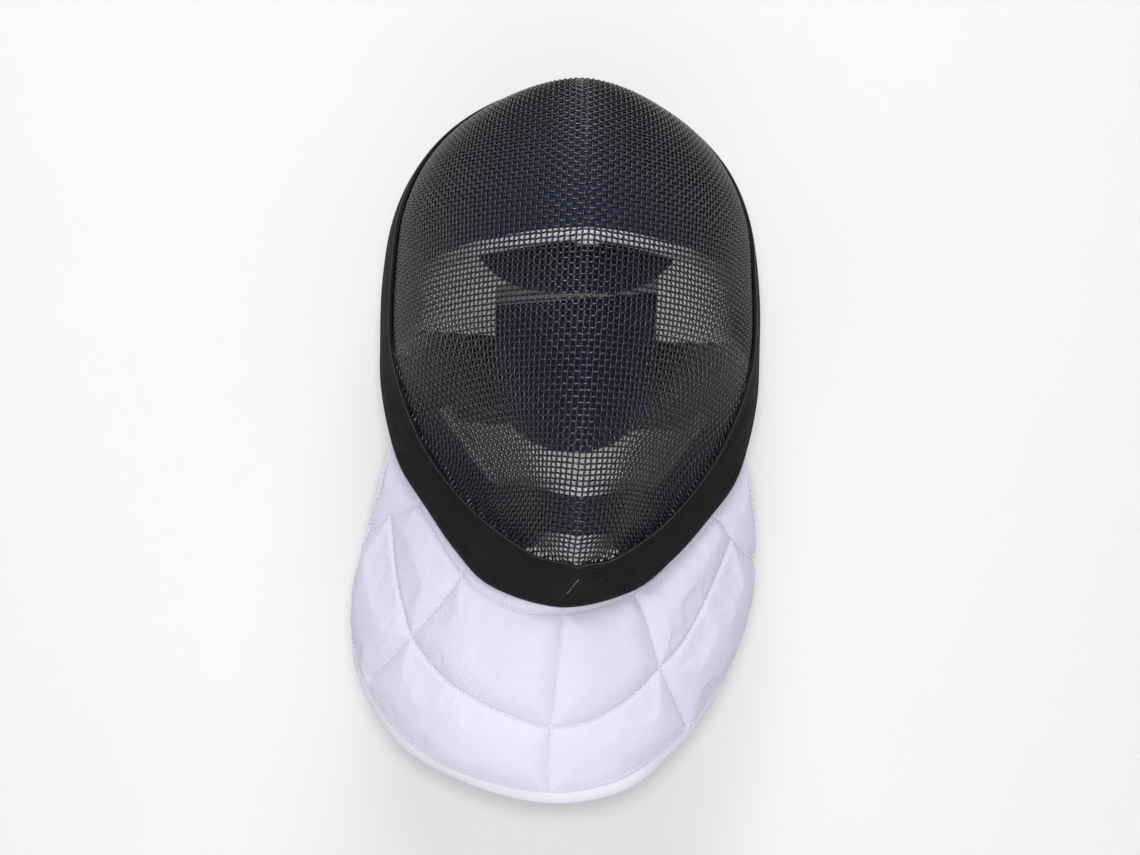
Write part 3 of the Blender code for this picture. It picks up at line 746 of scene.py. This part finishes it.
def woven_wires(finish):
    """Plain-woven wires over the shell, at even steps along the ridge and along each row."""
    v_fine = np.linspace(0, 1, 1500)
    ridge_run = arc_lengths(section(v_fine, 1)[0])
    rows = round(ridge_run[-1] / WEAVE)
    places = (np.arange(rows) + 0.5) * ridge_run[-1] / rows
    places = np.concatenate([[0.0003], places, [ridge_run[-1] - 0.0003]])
    crossings, wefts = {}, []
    for i, v_ridge in enumerate(np.interp(places, ridge_run, v_fine)):
        v, w = weft_run(v_ridge)
        normal = shell_normal(v, w)
        line = shell(v, w) - SHELL_WALL / 2 * normal
        run = arc_lengths(line)
        run -= run[len(w) // 2]
        shift = -WARP_SKEW * (i - rows / 2)
        first = math.ceil((run[0] - shift) / WEAVE)
        last = math.floor((run[-1] - shift) / WEAVE)
        halves = np.arange(2 * first, 2 * last + 1)
        at = halves * WEAVE / 2 + shift
        points, normals = read_line(line, run, at), unit(read_line(normal, run, at))
        crossing = halves % 2 == 0
        sign = np.where((halves // 2 + i) % 2 == 0, 1.0, -1.0)
        lift = np.where(crossing, WEFT_CRIMP * sign, -WARP_RISE)
        wefts.append((points + lift[:, None] * normals, normals))
        for k, p, n, s in zip(halves[crossing] // 2, points[crossing], normals[crossing], sign[crossing]):
            crossings[(i, int(k))] = (p, n, s)
    warps = []
    for k in sorted({k for _, k in crossings}):
        here = [i for i in range(len(places)) if (i, k) in crossings]
        breaks = [n for n in range(1, len(here)) if here[n] != here[n - 1] + 1]
        for chunk in np.split(np.array(here), breaks):
            if len(chunk) < 2:
                continue
            p, n, s = (np.array(part) for part in zip(*(crossings[(i, k)] for i in chunk)))
            line = np.empty((2 * len(p) - 1, 3))
            normals = np.empty_like(line)
            normals[::2] = n
            normals[1::2] = unit(n[1:] + n[:-1])
            line[::2] = p - WARP_CRIMP * s[:, None] * n
            line[1::2] = (p[1:] + p[:-1]) / 2 + WARP_RISE * normals[1::2]
            warps.append((line, normals))
    for name, lines in (("weft_wires", wefts), ("warp_wires", warps)):
        made = tubes(name, lines, WIRE / 2, finish)
        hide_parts("wire_shell")


# ---- the trim
def trim_profile(width):
    """The trim's section, as distance out of the rim and height off the wires' middle layer."""
    inner = -(SHELL_WALL + TRIM_GAP)
    lip = -width
    flat_end = -0.0035
    ribs = np.linspace(lip + 0.0004, flat_end, RIBS * 4 + 1)
    swell = RIB_HEIGHT * np.abs(np.sin(np.linspace(0, RIBS * math.pi, len(ribs))))
    top = [(a, TRIM_GAP + TRIM_WALL + h + 0.0006 * (1 - abs(2 * (a - lip) / (flat_end - lip) - 1)))
           for a, h in zip(ribs, swell)]
    turn = np.linspace(0, math.pi, 11)[1:-1]
    centre_a, centre_b = -0.0012, (TRIM_GAP + TRIM_WALL * 1.9 + inner - TRIM_WALL * 1.2) / 2
    radius_a, radius_b = TRIM_BEAD + 0.0012, (TRIM_GAP + TRIM_WALL * 1.9 - inner + TRIM_WALL * 1.2) / 2
    roll = [(centre_a + radius_a * math.sin(t), centre_b + radius_b * math.cos(t)) for t in turn]
    under = [(-0.0025, inner - TRIM_WALL * 1.2), (-TRIM_TUCK * 0.6, inner - TRIM_WALL),
             (-TRIM_TUCK, inner - TRIM_WALL * 0.7), (-TRIM_TUCK - 0.0004, inner - TRIM_WALL * 0.3),
             (-TRIM_TUCK, inner), (-SHELL_EDGE + 0.0008, inner), (-SHELL_EDGE + 0.0008, TRIM_GAP),
             (lip, TRIM_GAP), (lip - 0.0003, TRIM_GAP + TRIM_WALL * 0.5)]
    return np.array(top + roll + under)


def rim_lines(count):
    """Edge, rim and directions at even steps of v round the opening, down the right and up the left."""
    v = np.linspace(0, 1, count)
    places = np.concatenate([v, v[-2:0:-1]])
    side = np.repeat([1.0, -1.0], [count, count - 2])
    _, edge, rim = section(places, side)
    out = unit(rim - edge)
    along = unit(np.roll(rim, -1, axis=0) - np.roll(rim, 1, axis=0))
    normal = unit(np.cross(along, out))
    return places, edge, rim, out, normal


def trim(finish, pale, chalk):
    """The knit elastic round the rim, its selvedge and its loose thread."""
    places, edge, rim, out, normal = rim_lines(181)
    width = np.linalg.norm(rim - edge, axis=1) - 0.0005
    width = width + 0.0045 * (step_up(places, 0.94, 1.0) + 1 - step_up(places, 0.0, 0.03))
    profiles = np.array([trim_profile(part) for part in width])
    loops = rim[:, None] + profiles[..., :1] * out[:, None] + profiles[..., 1:] * normal[:, None]
    made = band("rim_elastic", loops, finish, ring=True)
    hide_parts("rim_trim")
    closed = [*range(len(loops)), 0]
    selvedge = stitch_run(loops[closed, 0] + 0.0001 * normal[closed], normal[closed], **SELVEDGE_STITCH)
    stitches("rim_selvedge", [selvedge], pale, "trim_black", SELVEDGE_STITCH["radius"])
    at, across = np.linspace(*LOOSE_THREAD, 6).T
    k = np.round(at).astype(int) % len(loops)
    line = rim[k] + across[:, None] * out[k] + (TRIM_GAP + TRIM_WALL + 0.0008) * normal[k]
    line += (at - np.round(at))[:, None] * (rim[k] - rim[k - 1])
    tubes("rim_loose_threads", [(line, normal[k])], LOOSE_RADIUS, chalk)


# ---- the bib
def seam_places(surface, normal):
    """Each seam as fractional places of the bib's grid, found from the front view."""
    facing = np.argwhere(normal[..., 1] < -0.1)
    tree = search_tree(surface[tuple(facing.T)] * (1, 0, 1))
    by_row, by_column = np.gradient(surface, axis=0)[..., ::2], np.gradient(surface, axis=1)[..., ::2]
    seams = []
    for points in SEAMS.values():
        line = smooth_table(np.array(points), np.linspace(0, len(points) - 1, 40 * (len(points) - 1)))
        near = np.array([facing[tree.find((x, 0.0, z))[1]] for x, z in line])
        i, j = near.T
        slopes = np.stack([by_row[i, j], by_column[i, j]], -1)
        shift = np.linalg.solve(slopes, (line - surface[i, j][:, ::2])[..., None])[..., 0]
        seams.append(near + np.clip(shift, -1, 1))
    return seams


def filled(faces, held, slack=0.004, limit=0.0035):
    """Both faces of a cloth bag after wadding fills it between the lines where it is held."""
    rows, columns = faces[0].shape[:2]
    count = rows * columns
    i, j = grid_ring(rows, columns)
    ring = i * columns + j
    after = np.roll(ring, -1)
    top = grid_quads(rows, columns)
    side = np.stack([ring, ring + count, after + count, after], -1)
    points = np.concatenate([face.reshape(-1, 3) for face in faces])
    mesh = bpy.data.meshes.new("filling")
    mesh.from_pydata(points.tolist(), [], np.concatenate([top, top[:, ::-1] + count, side]).tolist())
    shape = bmesh.new()
    shape.from_mesh(mesh)
    bmesh.ops.recalc_face_normals(shape, faces=shape.faces[:])
    shape.to_mesh(mesh)
    shape.free()
    made = add_object("filling", mesh)
    group = made.vertex_groups.new(name="held")
    weights = np.round(np.concatenate([h.ravel() for h in held]), 1)
    for weight in np.unique(weights[weights > 0]):
        group.add(np.flatnonzero(weights == weight).tolist(), float(weight), "REPLACE")
    cloth_modifier = made.modifiers.new("cloth", "CLOTH")
    settings = cloth_modifier.settings
    for key, value in FILLING.items():
        setattr(settings, key, value)
    settings.shrink_min = -slack
    settings.vertex_group_mass = group.name
    settings.effector_weights.gravity = 0
    cloth_modifier.collision_settings.use_collision = False
    cloth_modifier.point_cache.frame_start = 1
    cloth_modifier.point_cache.frame_end = FILLING_FRAMES
    for number in range(1, FILLING_FRAMES + 1):
        bpy.context.scene.frame_set(number)
    seen = made.evaluated_get(bpy.context.evaluated_depsgraph_get())
    moved = np.empty(len(points) * 3, dtype=np.float32)
    seen.data.vertices.foreach_get("co", moved)
    bpy.data.objects.remove(made)
    bpy.data.meshes.remove(mesh)
    bpy.context.scene.frame_set(1)
    shift = moved.reshape(-1, 3) - points
    length = np.maximum(np.linalg.norm(shift, axis=1, keepdims=True), 1e-9)
    points = points + shift / length * limit * np.tanh(length / limit)
    return points[:count].reshape(faces[0].shape), points[count:].reshape(faces[1].shape)


def bib(finish, tape_finish, thread_finish):
    """The quilted bib: two cloth faces over wadding, sewn together along its seams."""
    u = np.linspace(-1, 1, 281)[:, None]
    t = np.concatenate([[-1, -0.66, -0.33], np.linspace(0, 1, 121)])[None, :]
    surface = bib_surface(u, t)
    normal = grid_normal(surface)
    if normal[140, 60, 1] > 0:
        normal = -normal
    seams = seam_places(surface, normal)
    sewn = search_tree(np.concatenate([at_places(surface, places) for places in seams]))
    away = np.array([sewn.find(p)[2] for p in surface.reshape(-1, 3)]).reshape(surface.shape[:2])
    uv = grid_uv(surface)
    to_hem = uv[:, -1:, 1] - uv[..., 1]
    to_top = np.maximum(uv[..., 1] - uv[:, 3, None, 1], 0)
    to_side = np.minimum(uv[..., 0] - uv[:1, :, 0], uv[-1:, :, 0] - uv[..., 0])
    hem_away = np.maximum(np.minimum(to_hem, to_side) - HEM_TAPE * 0.8, 0)
    seam_away = np.minimum(away, np.where(to_top > 0, np.abs(to_top - TOP_SEAM), TOP_SEAM))
    near_line = np.minimum(seam_away, hem_away)
    puff = 1 - np.exp(-(near_line / BIB_SHOULDER) ** 1.2)
    folds = BIB_FOLD * ripple(*np.moveaxis(surface, -1, 0)) * puff
    outer = surface + (BIB_FULL * puff + folds - BIB_SUNK)[..., None] * normal
    inner = surface - (BIB_THICK * (0.55 + 0.35 * puff) - folds)[..., None] * normal
    held = 1 - step_up(near_line, *HELD_BIB)
    held[:, :4] = 1
    held[:, -2:] = held[:2] = held[-2:] = 1
    outer, inner = filled((outer, inner), (held, held))
    made = closed_pair("bib_quilting", outer, inner, finish, "bib_white", surface)
    ring_count = len(made.data.vertices) - 2 * seam_away.size
    values = np.concatenate([seam_away.ravel(), seam_away.ravel(), np.full(ring_count, 0.01)])
    layer = made.data.attributes.new("seam_away", "FLOAT", "POINT")
    layer.data.foreach_set("value", values.astype(np.float32))
    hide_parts("bib")
    # stitches lie in the seams, along the top and just inside the hem's tape
    columns = [np.interp(TOP_SEAM, to_top[i, 3:], np.arange(3, to_top.shape[1])) for i in range(len(u))]
    seams.append(np.stack([np.arange(len(u)), columns], -1)[2:-2])
    runs = [stitch_run(at_places(outer, places), unit(at_places(normal, places)), **BIB_STITCH)
            for places in seams]
    runs.append(stitch_run(*border_line(surface, outer, normal, HEM_TAPE + 0.0012), **BIB_STITCH))
    stitches("bib_stitches", runs, thread_finish, "bib_white", BIB_STITCH["radius"])
    hem_tape(surface, outer, inner, normal, tape_finish)


def free_border(surface, normal):
    """The bib's left edge, hem and right edge: grid places, points, normals and directions inwards."""
    rows, columns = surface.shape[:2]
    path = [(0, j) for j in range(4, columns)] + [(i, columns - 1) for i in range(1, rows - 1)]
    path += [(rows - 1, j) for j in range(columns - 1, 3, -1)]
    i, j = np.array(path).T
    edge, out = surface[i, j], normal[i, j]
    inside = unit(np.cross(out, unit(np.gradient(edge, axis=0))))
    inside *= np.sign(dot(inside, surface[rows // 2, columns // 2] - edge))
    return i, j, edge, out, inside


def border_line(surface, outer, normal, inset):
    """A line on the outer face at this distance inside the sides and the hem, and its normals."""
    _, _, edge, _, inside = free_border(surface, normal)
    flat = outer.reshape(-1, 3)
    tree = search_tree(flat)
    near = np.array([tree.find(p)[1] for p in edge + inset * inside])
    near = near[np.concatenate([[True], np.diff(near) != 0])]
    width = 9
    padded = np.pad(flat[near], ((width // 2, width // 2), (0, 0)), mode="edge")
    points = np.mean([padded[k:k + len(near)] for k in range(width)], axis=0)
    normals = normal.reshape(-1, 3)[near]
    return points + 0.0002 * normals, normals


def hem_tape(surface, outer, inner, normal, finish):
    """Tape folded over the bib's sides and hem."""
    i, j, edge, out, inside = free_border(surface, normal)
    f = dot(outer[i, j] - edge, out) + 0.0005
    b = dot(inner[i, j] - edge, out) - 0.0004
    profile = [(HEM_TAPE, f - 0.0003), (HEM_TAPE * 0.8, f + 0.0003), (HEM_TAPE * 0.3, f + 0.0002),
               (-0.0004, f - 0.0006), (-0.0012, (f + b) / 2), (-0.0004, b + 0.0006), (HEM_TAPE * 0.3, b),
               (HEM_TAPE, b), (HEM_TAPE, b + 0.0008), (0.0005, b + 0.001), (0.0005, f - 0.001),
               (HEM_TAPE, f - 0.0009)]
    loops = np.stack([edge + a * inside + h * out for a, h in profile], axis=1)
    band("bib_hem_tape", loops, finish)


# ---- pads
def pad_grid(edge_v, edge_w, margin_v, margin_w, fine_t, fine_s):
    """v and w over a pad, finer than its lines from the ridge outwards, with the edge's corners rounded."""
    at = np.linspace(0, len(edge_v) - 1, fine_s)
    edge_v, edge_w, margin_v, margin_w = (np.interp(at, np.arange(len(a)), a)
                                          for a in (edge_v, edge_w, margin_v, margin_w))
    for values in (edge_v, edge_w):
        for _ in range(8):
            values[1:-1] = (values[:-2] + 2 * values[1:-1] + values[2:]) / 4
    t = np.linspace(0, 1, fine_t)
    v = edge_v[:, None] * (1 - t) + margin_v[:, None] * t
    w = edge_w[:, None] * (1 - t) + margin_w[:, None] * t
    return np.concatenate([v[:0:-1], v]), np.concatenate([-w[:0:-1], w])


def pad(name, lines, gap, sizes, finish):
    """A padded lining under the wires, with v and w over it and its sewn lines."""
    v, w = pad_grid(*lines, *sizes)
    normal = shell_normal(v, w)
    surface = shell(v, w)
    _, edge, rim = section(v, np.where(w < 0, -1.0, 1.0))
    from_rim = (2 - np.abs(w)) * np.linalg.norm(rim - edge, axis=-1)
    under_trim = 1 - step_up(from_rim, *PAD_DIPS)
    depth = SHELL_WALL + gap + (PAD_UNDER_TRIM - SHELL_WALL - gap) * under_trim
    away = border_distance(surface)
    full = 1 - np.exp(-(away / PAD_SHOULDER) ** 1.2)
    folds = PAD_FOLD * ripple(surface[..., 0] * 1.3, surface[..., 1], surface[..., 2] * 1.3)
    outer = surface - (depth + 0.0016 * (1 - full))[..., None] * normal
    inner_depth = SHELL_WALL + gap + PAD_THICK * (0.34 + 0.66 * full) + folds * full
    inner = surface - np.maximum(inner_depth, depth + 0.0028)[..., None] * normal
    held = 1 - step_up(np.minimum(away, np.abs(away - PAD_SEAM)), *HELD_PAD)
    outer, inner = filled((outer, inner), (np.ones_like(held), held), slack=0.010)
    made = closed_pair(name, outer, inner, finish, "pad_navy", surface)
    sewn = [sewn_line(surface, inner, -normal, PAD_SEAM, far=far) for far in (False, True)]
    return made, v, w, sewn


def edge_tape(name, v, w, rows, edge, next_in, width, gap, finish, past=0.0012):
    """Tape folded over a pad's edge: a flat U whose face to the wires is seen through them."""
    inner_v, inner_w = v[rows, next_in], w[rows, next_in]
    v, w = v[rows, edge], w[rows, edge]
    reach = np.linalg.norm(shell(v, w) - shell(inner_v, inner_w), axis=1)
    step_v, step_w = (v - inner_v) / reach, (w - inner_w) / reach
    top = SHELL_WALL + gap
    bottom = top + PAD_THICK * 0.62
    profile = [(-past, top + 0.0010), (0.0, top + 0.0004), (width * 0.5, top),
               (width * 0.85, top + 0.0004), (width, top + 0.0018), (width, bottom - 0.0018),
               (width * 0.85, bottom - 0.0004), (width * 0.4, bottom), (-past, bottom),
               (-past, bottom - 0.0012), (width * 0.2, bottom - 0.0020), (width * 0.2, top + 0.0020),
               (-past, top + 0.0020)]
    loops = np.stack([beneath(v + a * step_v, w + a * step_w, depth) for a, depth in profile], axis=1)
    seam = v + width * 0.7 * step_v, w + width * 0.7 * step_w
    sewn = stitch_run(beneath(*seam, bottom - 0.0001), -shell_normal(*seam))
    return band(name, loops, finish), sewn


def crown_lines(count=15, corner=9):
    """v and w of the crown pad's free edge and of its margin, from the ridge outwards."""
    arm_end, start = 0.505, 1 / 34
    brow = CROWN_EDGE + CROWN_DROOP * np.linspace(0, 1, corner) ** 2
    brow[0] += 0.004    # the middle lies a little lower, so that it reads as one arc over the ridge
    edge_v = np.concatenate([brow, np.linspace(brow[-1], arm_end, count - corner + 1)[1:]])
    edge_w = arm_side(edge_v, CROWN_ARM) * np.minimum(np.arange(count) / (corner - 1), 1)
    margin_v = np.concatenate([[start], np.linspace(start, arm_end, count - 1)])
    margin_w = rim_side(margin_v, PAD_MARGIN - (PAD_MARGIN - PAD_TUCKED) * step_up(margin_v, 0.2, 0.4))
    margin_w[0] = 0
    return edge_v, edge_w, margin_v, margin_w


def chin_lines(count=15, corner=7):
    """The same of the chin pad."""
    arm_end, low = 0.634, 0.910
    dip = CHIN_EDGE + CHIN_DIP * np.cos(np.linspace(0, math.pi / 2, corner)) ** 2
    edge_v = np.concatenate([dip, np.linspace(CHIN_EDGE, arm_end, count - corner + 1)[1:]])
    edge_w = arm_side(edge_v, CHIN_ARM) * np.minimum(np.arange(count) / (corner - 1), 1)
    margin_v = np.concatenate([np.full(4, low), np.linspace(low, arm_end, count - 4)])
    margin_w = rim_side(margin_v, PAD_TUCKED)
    margin_w[:4] = 0.0, 0.34, 0.68, 1.0
    return edge_v, edge_w, margin_v, margin_w


def pads(navy, tape, navy_thread, tape_thread):
    """Both linings with their tapes and stitches."""
    made, v, w, crown_sewn = pad("crown_lining", crown_lines(), CROWN_GAP, (61, 85), navy)
    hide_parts("crown_pad")
    made, crown_edge = edge_tape("crown_tape", v, w, slice(None), 0, 3, CROWN_BINDING, CROWN_GAP, tape)
    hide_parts("crown_pad_binding")
    made, v, w, chin_sewn = pad("chin_lining", chin_lines(), CHIN_GAP, (41, 71), navy)
    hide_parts("chin_pad")
    made, chin_edge = edge_tape("chin_tape", v, w, slice(None), 0, 3, CHIN_BINDING, CHIN_GAP, tape)
    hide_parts("chin_pad_binding")
    middle = slice(len(v) // 2 - 12, len(v) // 2 + 13)
    made, lower_edge = edge_tape("chin_lower_tape", v, w, middle, -1, -4, LOWER_BINDING, CHIN_GAP, tape,
                                 past=LOWER_REACH)
    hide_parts("chin_lower_binding")
    stitches("lining_stitches", crown_sewn + chin_sewn, navy_thread, "pad_navy")
    stitches("tape_stitches", [crown_edge, chin_edge, lower_edge], tape_thread, "binding_white")


# ---- behind the head
def strap(finish, thread_finish):
    """The wide elastic, sewn to the trim with two lines of stitches at each end."""
    t = np.linspace(0, 1, 61)[:, None]
    v = np.linspace(0.3, 0.8, 200)
    inset = SHELL_WALL + 0.0012 + TRIM_WALL * 1.2 + STRAP_THICK / 2
    heights = np.linspace(-0.5, 0.5, 41) * STRAP_HEIGHT
    halves = []
    for side in (-1, 1):
        _, edge, rim = section(v, side)
        out = unit(rim - edge)
        normal = unit(np.cross(np.gradient(rim, axis=0) * side, out))
        lines = []
        for height in heights:
            at = np.interp(-(STRAP_Z + height + STRAP_TILT * side), -rim[:, 2], np.arange(len(v)))
            here = read_line(np.concatenate([rim, out, normal], axis=1), np.arange(len(v)), at)
            start = here[:3] - 0.006 * here[3:6] - inset * here[6:]
            rear = np.array([0.0, STRAP_REAR, STRAP_Z + height])
            by_trim = start + np.array([side * STRAP_LEAVES[0], STRAP_LEAVES[1], 0])
            by_rear = rear + np.array([side * STRAP_FLAT, 0, 0])
            lines.append(curve(t, start, by_trim, by_rear, rear))
        halves.append(np.array(lines).transpose(1, 0, 2))
    middle = np.concatenate([halves[0], halves[1][-2::-1]])
    made = cushion("head_elastic", middle, STRAP_THICK, finish, "strap_black", edge=0.45, swell=0.0012)
    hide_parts("back_strap")
    normal = grid_normal(middle)
    runs = []
    for at in (4, 9, len(middle) - 10, len(middle) - 5):
        for side in (-1, 1):
            out = side * normal[at, 2:-2]
            runs.append(stitch_run(middle[at, 2:-2] + STRAP_THICK / 2 * out, out))
    stitches("elastic_stitches", runs, thread_finish, "strap_black")


def flap(finish, thread_finish):
    """The flap that hangs from the crown behind the head."""
    across = np.linspace(-1, 1, 61)
    last = len(FLAP_PATH) - 1
    grid = []
    for down in np.linspace(0, 1, 55):
        half = np.interp(down, [0, 0.5, 1], FLAP_HALF)
        x = across * half
        y, z = smooth_table(FLAP_PATH, down * (1 - FLAP_CORNER * np.abs(across)**3.5) * last).T
        y = y - FLAP_ROUND * step_up(down, 0, 0.67) * x**2
        z = z - (0.45 + 5.6 * (1 - down) ** 2) * x**2
        grid.append(np.stack([x + FLAP_SIDE, y, z], -1))
    grid = np.array(grid)
    made = cushion("neck_flap", grid, FLAP_THICK, finish, "pad_navy", edge=0.35, swell=0.006, bulge=0.15,
                   seam=FLAP_SEAM)
    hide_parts("rear_flap")
    stitches("flap_stitches", border_stitches(grid, made, FLAP_SEAM), thread_finish, "pad_navy")


def tongue_grid(heights, half_widths, columns=49):
    """Points over the tongue at these heights and half widths."""
    heights = np.array(heights)[:, None]
    x = np.array(half_widths)[:, None] * np.linspace(-1, 1, columns)
    y = TONGUE_REAR - TONGUE_ROUND * x**2
    skewed = np.clip((heights - TONGUE_SHOULDER) / (TONGUE_TOP - TONGUE_SHOULDER), 0, 1)
    return np.stack([x + TONGUE_SIDE, y, heights + TONGUE_SKEW * skewed * x], -1)


def tongue(finish, tape_finish, thread_finish):
    """The shield-shaped pad behind the head, its tape and its stitches."""
    turn = np.linspace(0, 0.975 * math.pi / 2, 34)[1:]
    rounded = TONGUE_SHOULDER + (TONGUE_BOTTOM - TONGUE_SHOULDER) * np.sin(turn)
    heights = np.concatenate([np.linspace(TONGUE_TOP, TONGUE_SHOULDER, 24), rounded])
    half_widths = np.concatenate([np.full(24, TONGUE_HALF), TONGUE_HALF * np.cos(turn)])
    grid = tongue_grid(heights, half_widths)
    made = cushion("tongue_shield", grid, TONGUE_THICK, finish, "pad_navy", edge=0.32, swell=0.005,
                   bulge=0.06, seam=TONGUE_SEAM)
    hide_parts("tongue_pad")
    strip = tongue_grid(np.linspace(*TONGUE_TAPE, 9), np.full(9, TONGUE_HALF))
    made = cushion("tongue_tape", strip, TONGUE_THICK * 0.75, tape_finish, "binding_white",
                   edge=0.6, swell=0.0015)
    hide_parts("tongue_binding")
    inset = tongue_grid(TONGUE_SHOULDER + (heights - TONGUE_SHOULDER) * 0.90, half_widths * 0.90)
    path = np.concatenate([inset[:, 0], inset[::-1, -1]])
    normals = np.tile([0.0, -1.0, 0.0], (len(path), 1))
    runs = [stitch_run(path + side * 0.0024 * normals, side * normals) for side in (-1, 1)]
    stitches("tongue_stitches", runs, thread_finish, "pad_navy")


# ---- the studio
def camera():
    """The photo's point of view."""
    data = bpy.data.cameras.new("camera")
    data.sensor_width = 36.0
    data.lens = 36.0 * FOCAL_SHARE
    data.shift_x = SHIFT
    data.clip_start, data.clip_end = 0.05, 50
    made = add_object("camera", data)
    upright = Matrix.Rotation(-YAW, 4, "Z") @ Matrix.Rotation(math.pi / 2, 4, "X")
    back = Matrix.Translation((0, 0, DISTANCE))
    made.matrix_world = Matrix.Translation(PIVOT) @ upright @ Matrix.Rotation(ROLL, 4, "Z") @ back
    bpy.context.scene.camera = made


def studio_paint():
    """Matt pale paint; from behind the wall the view passes through."""
    made, tree, shader = shader_of("studio_paint", 0.9, 0.2)
    tint(tree, shader, noise(tree, 3.0), PAINT)
    behind = node(tree, "NewGeometry").outputs["Backfacing"]
    clear = node(tree, "BsdfTransparent").outputs[0]
    mixed = node(tree, "MixShader", {0: behind, 1: shader.outputs[0], 2: clear})
    tree.links.new(mixed.outputs[0], tree.nodes["Material Output"].inputs["Surface"])
    return made


def studio():
    """A pale floor that curves up into a wall close behind the mask."""
    turn = np.linspace(0, math.pi / 2, 25)
    curve = np.stack([WALL_Y + COVE * (np.sin(turn) - 1), FLOOR_Z + COVE * (1 - np.cos(turn))], -1)
    profile = np.concatenate([[(-9.0, FLOOR_Z)], curve, [(WALL_Y, 2.5)]])
    points = [(x, y, z) for y, z in profile for x in (-7.0, 7.0)]
    mesh = bpy.data.meshes.new("studio_floor")
    mesh.from_pydata(points, [], grid_quads(len(profile), 2).tolist())
    mesh.materials.append(studio_paint())
    mesh.shade_smooth()
    made = add_object("studio_floor", mesh)
    world = bpy.data.worlds.new("studio_air")
    bpy.context.scene.world = world
    world.use_nodes = True
    background = world.node_tree.nodes["Background"]
    background.inputs["Color"].default_value = (1, 1, 1, 1)
    background.inputs["Strength"].default_value = AIR
    for name, place, size, power, spread in LAMPS:
        data = bpy.data.lights.new(name, "AREA")
        data.shape = "DISK"
        data.size = size
        data.energy = power
        data.spread = math.radians(spread)
        lamp = add_object(name, data)
        lamp.location = place
        lamp.rotation_mode = "QUATERNION"
        lamp.rotation_quaternion = (AIM - Vector(place)).to_track_quat("-Z", "Y")
    bpy.context.scene.view_settings.view_transform = "Standard"


def main():
    """The camera, the studio and every piece with its material."""
    camera()
    studio()
    navy = cloth("navy_cloth", NAVY, threads=0.0009, depth=0.0003, sheen=0.15, crease=2.5)
    tape = cloth("white_tape", WHITE_TAPE)
    knit = knit_elastic()
    white_thread = thread("white")
    bib(bib_cloth(), tape, white_thread)
    woven_wires(coated_wire())
    trim(knit, thread("pale"), thread("grey"))
    navy_thread = thread("navy")
    pads(navy, tape, navy_thread, white_thread)
    strap(webbing(), thread("black"))
    flap(navy, navy_thread)
    # the tongue's tape is the white binding painted darker, as painted shade behind the head
    tongue(navy, cloth("tape_painted_shade", TAPE_PAINTED_SHADE), navy_thread)
    steel = spring_steel()
    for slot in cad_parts["tongue_spring"].material_slots:
        slot.material = steel


main()
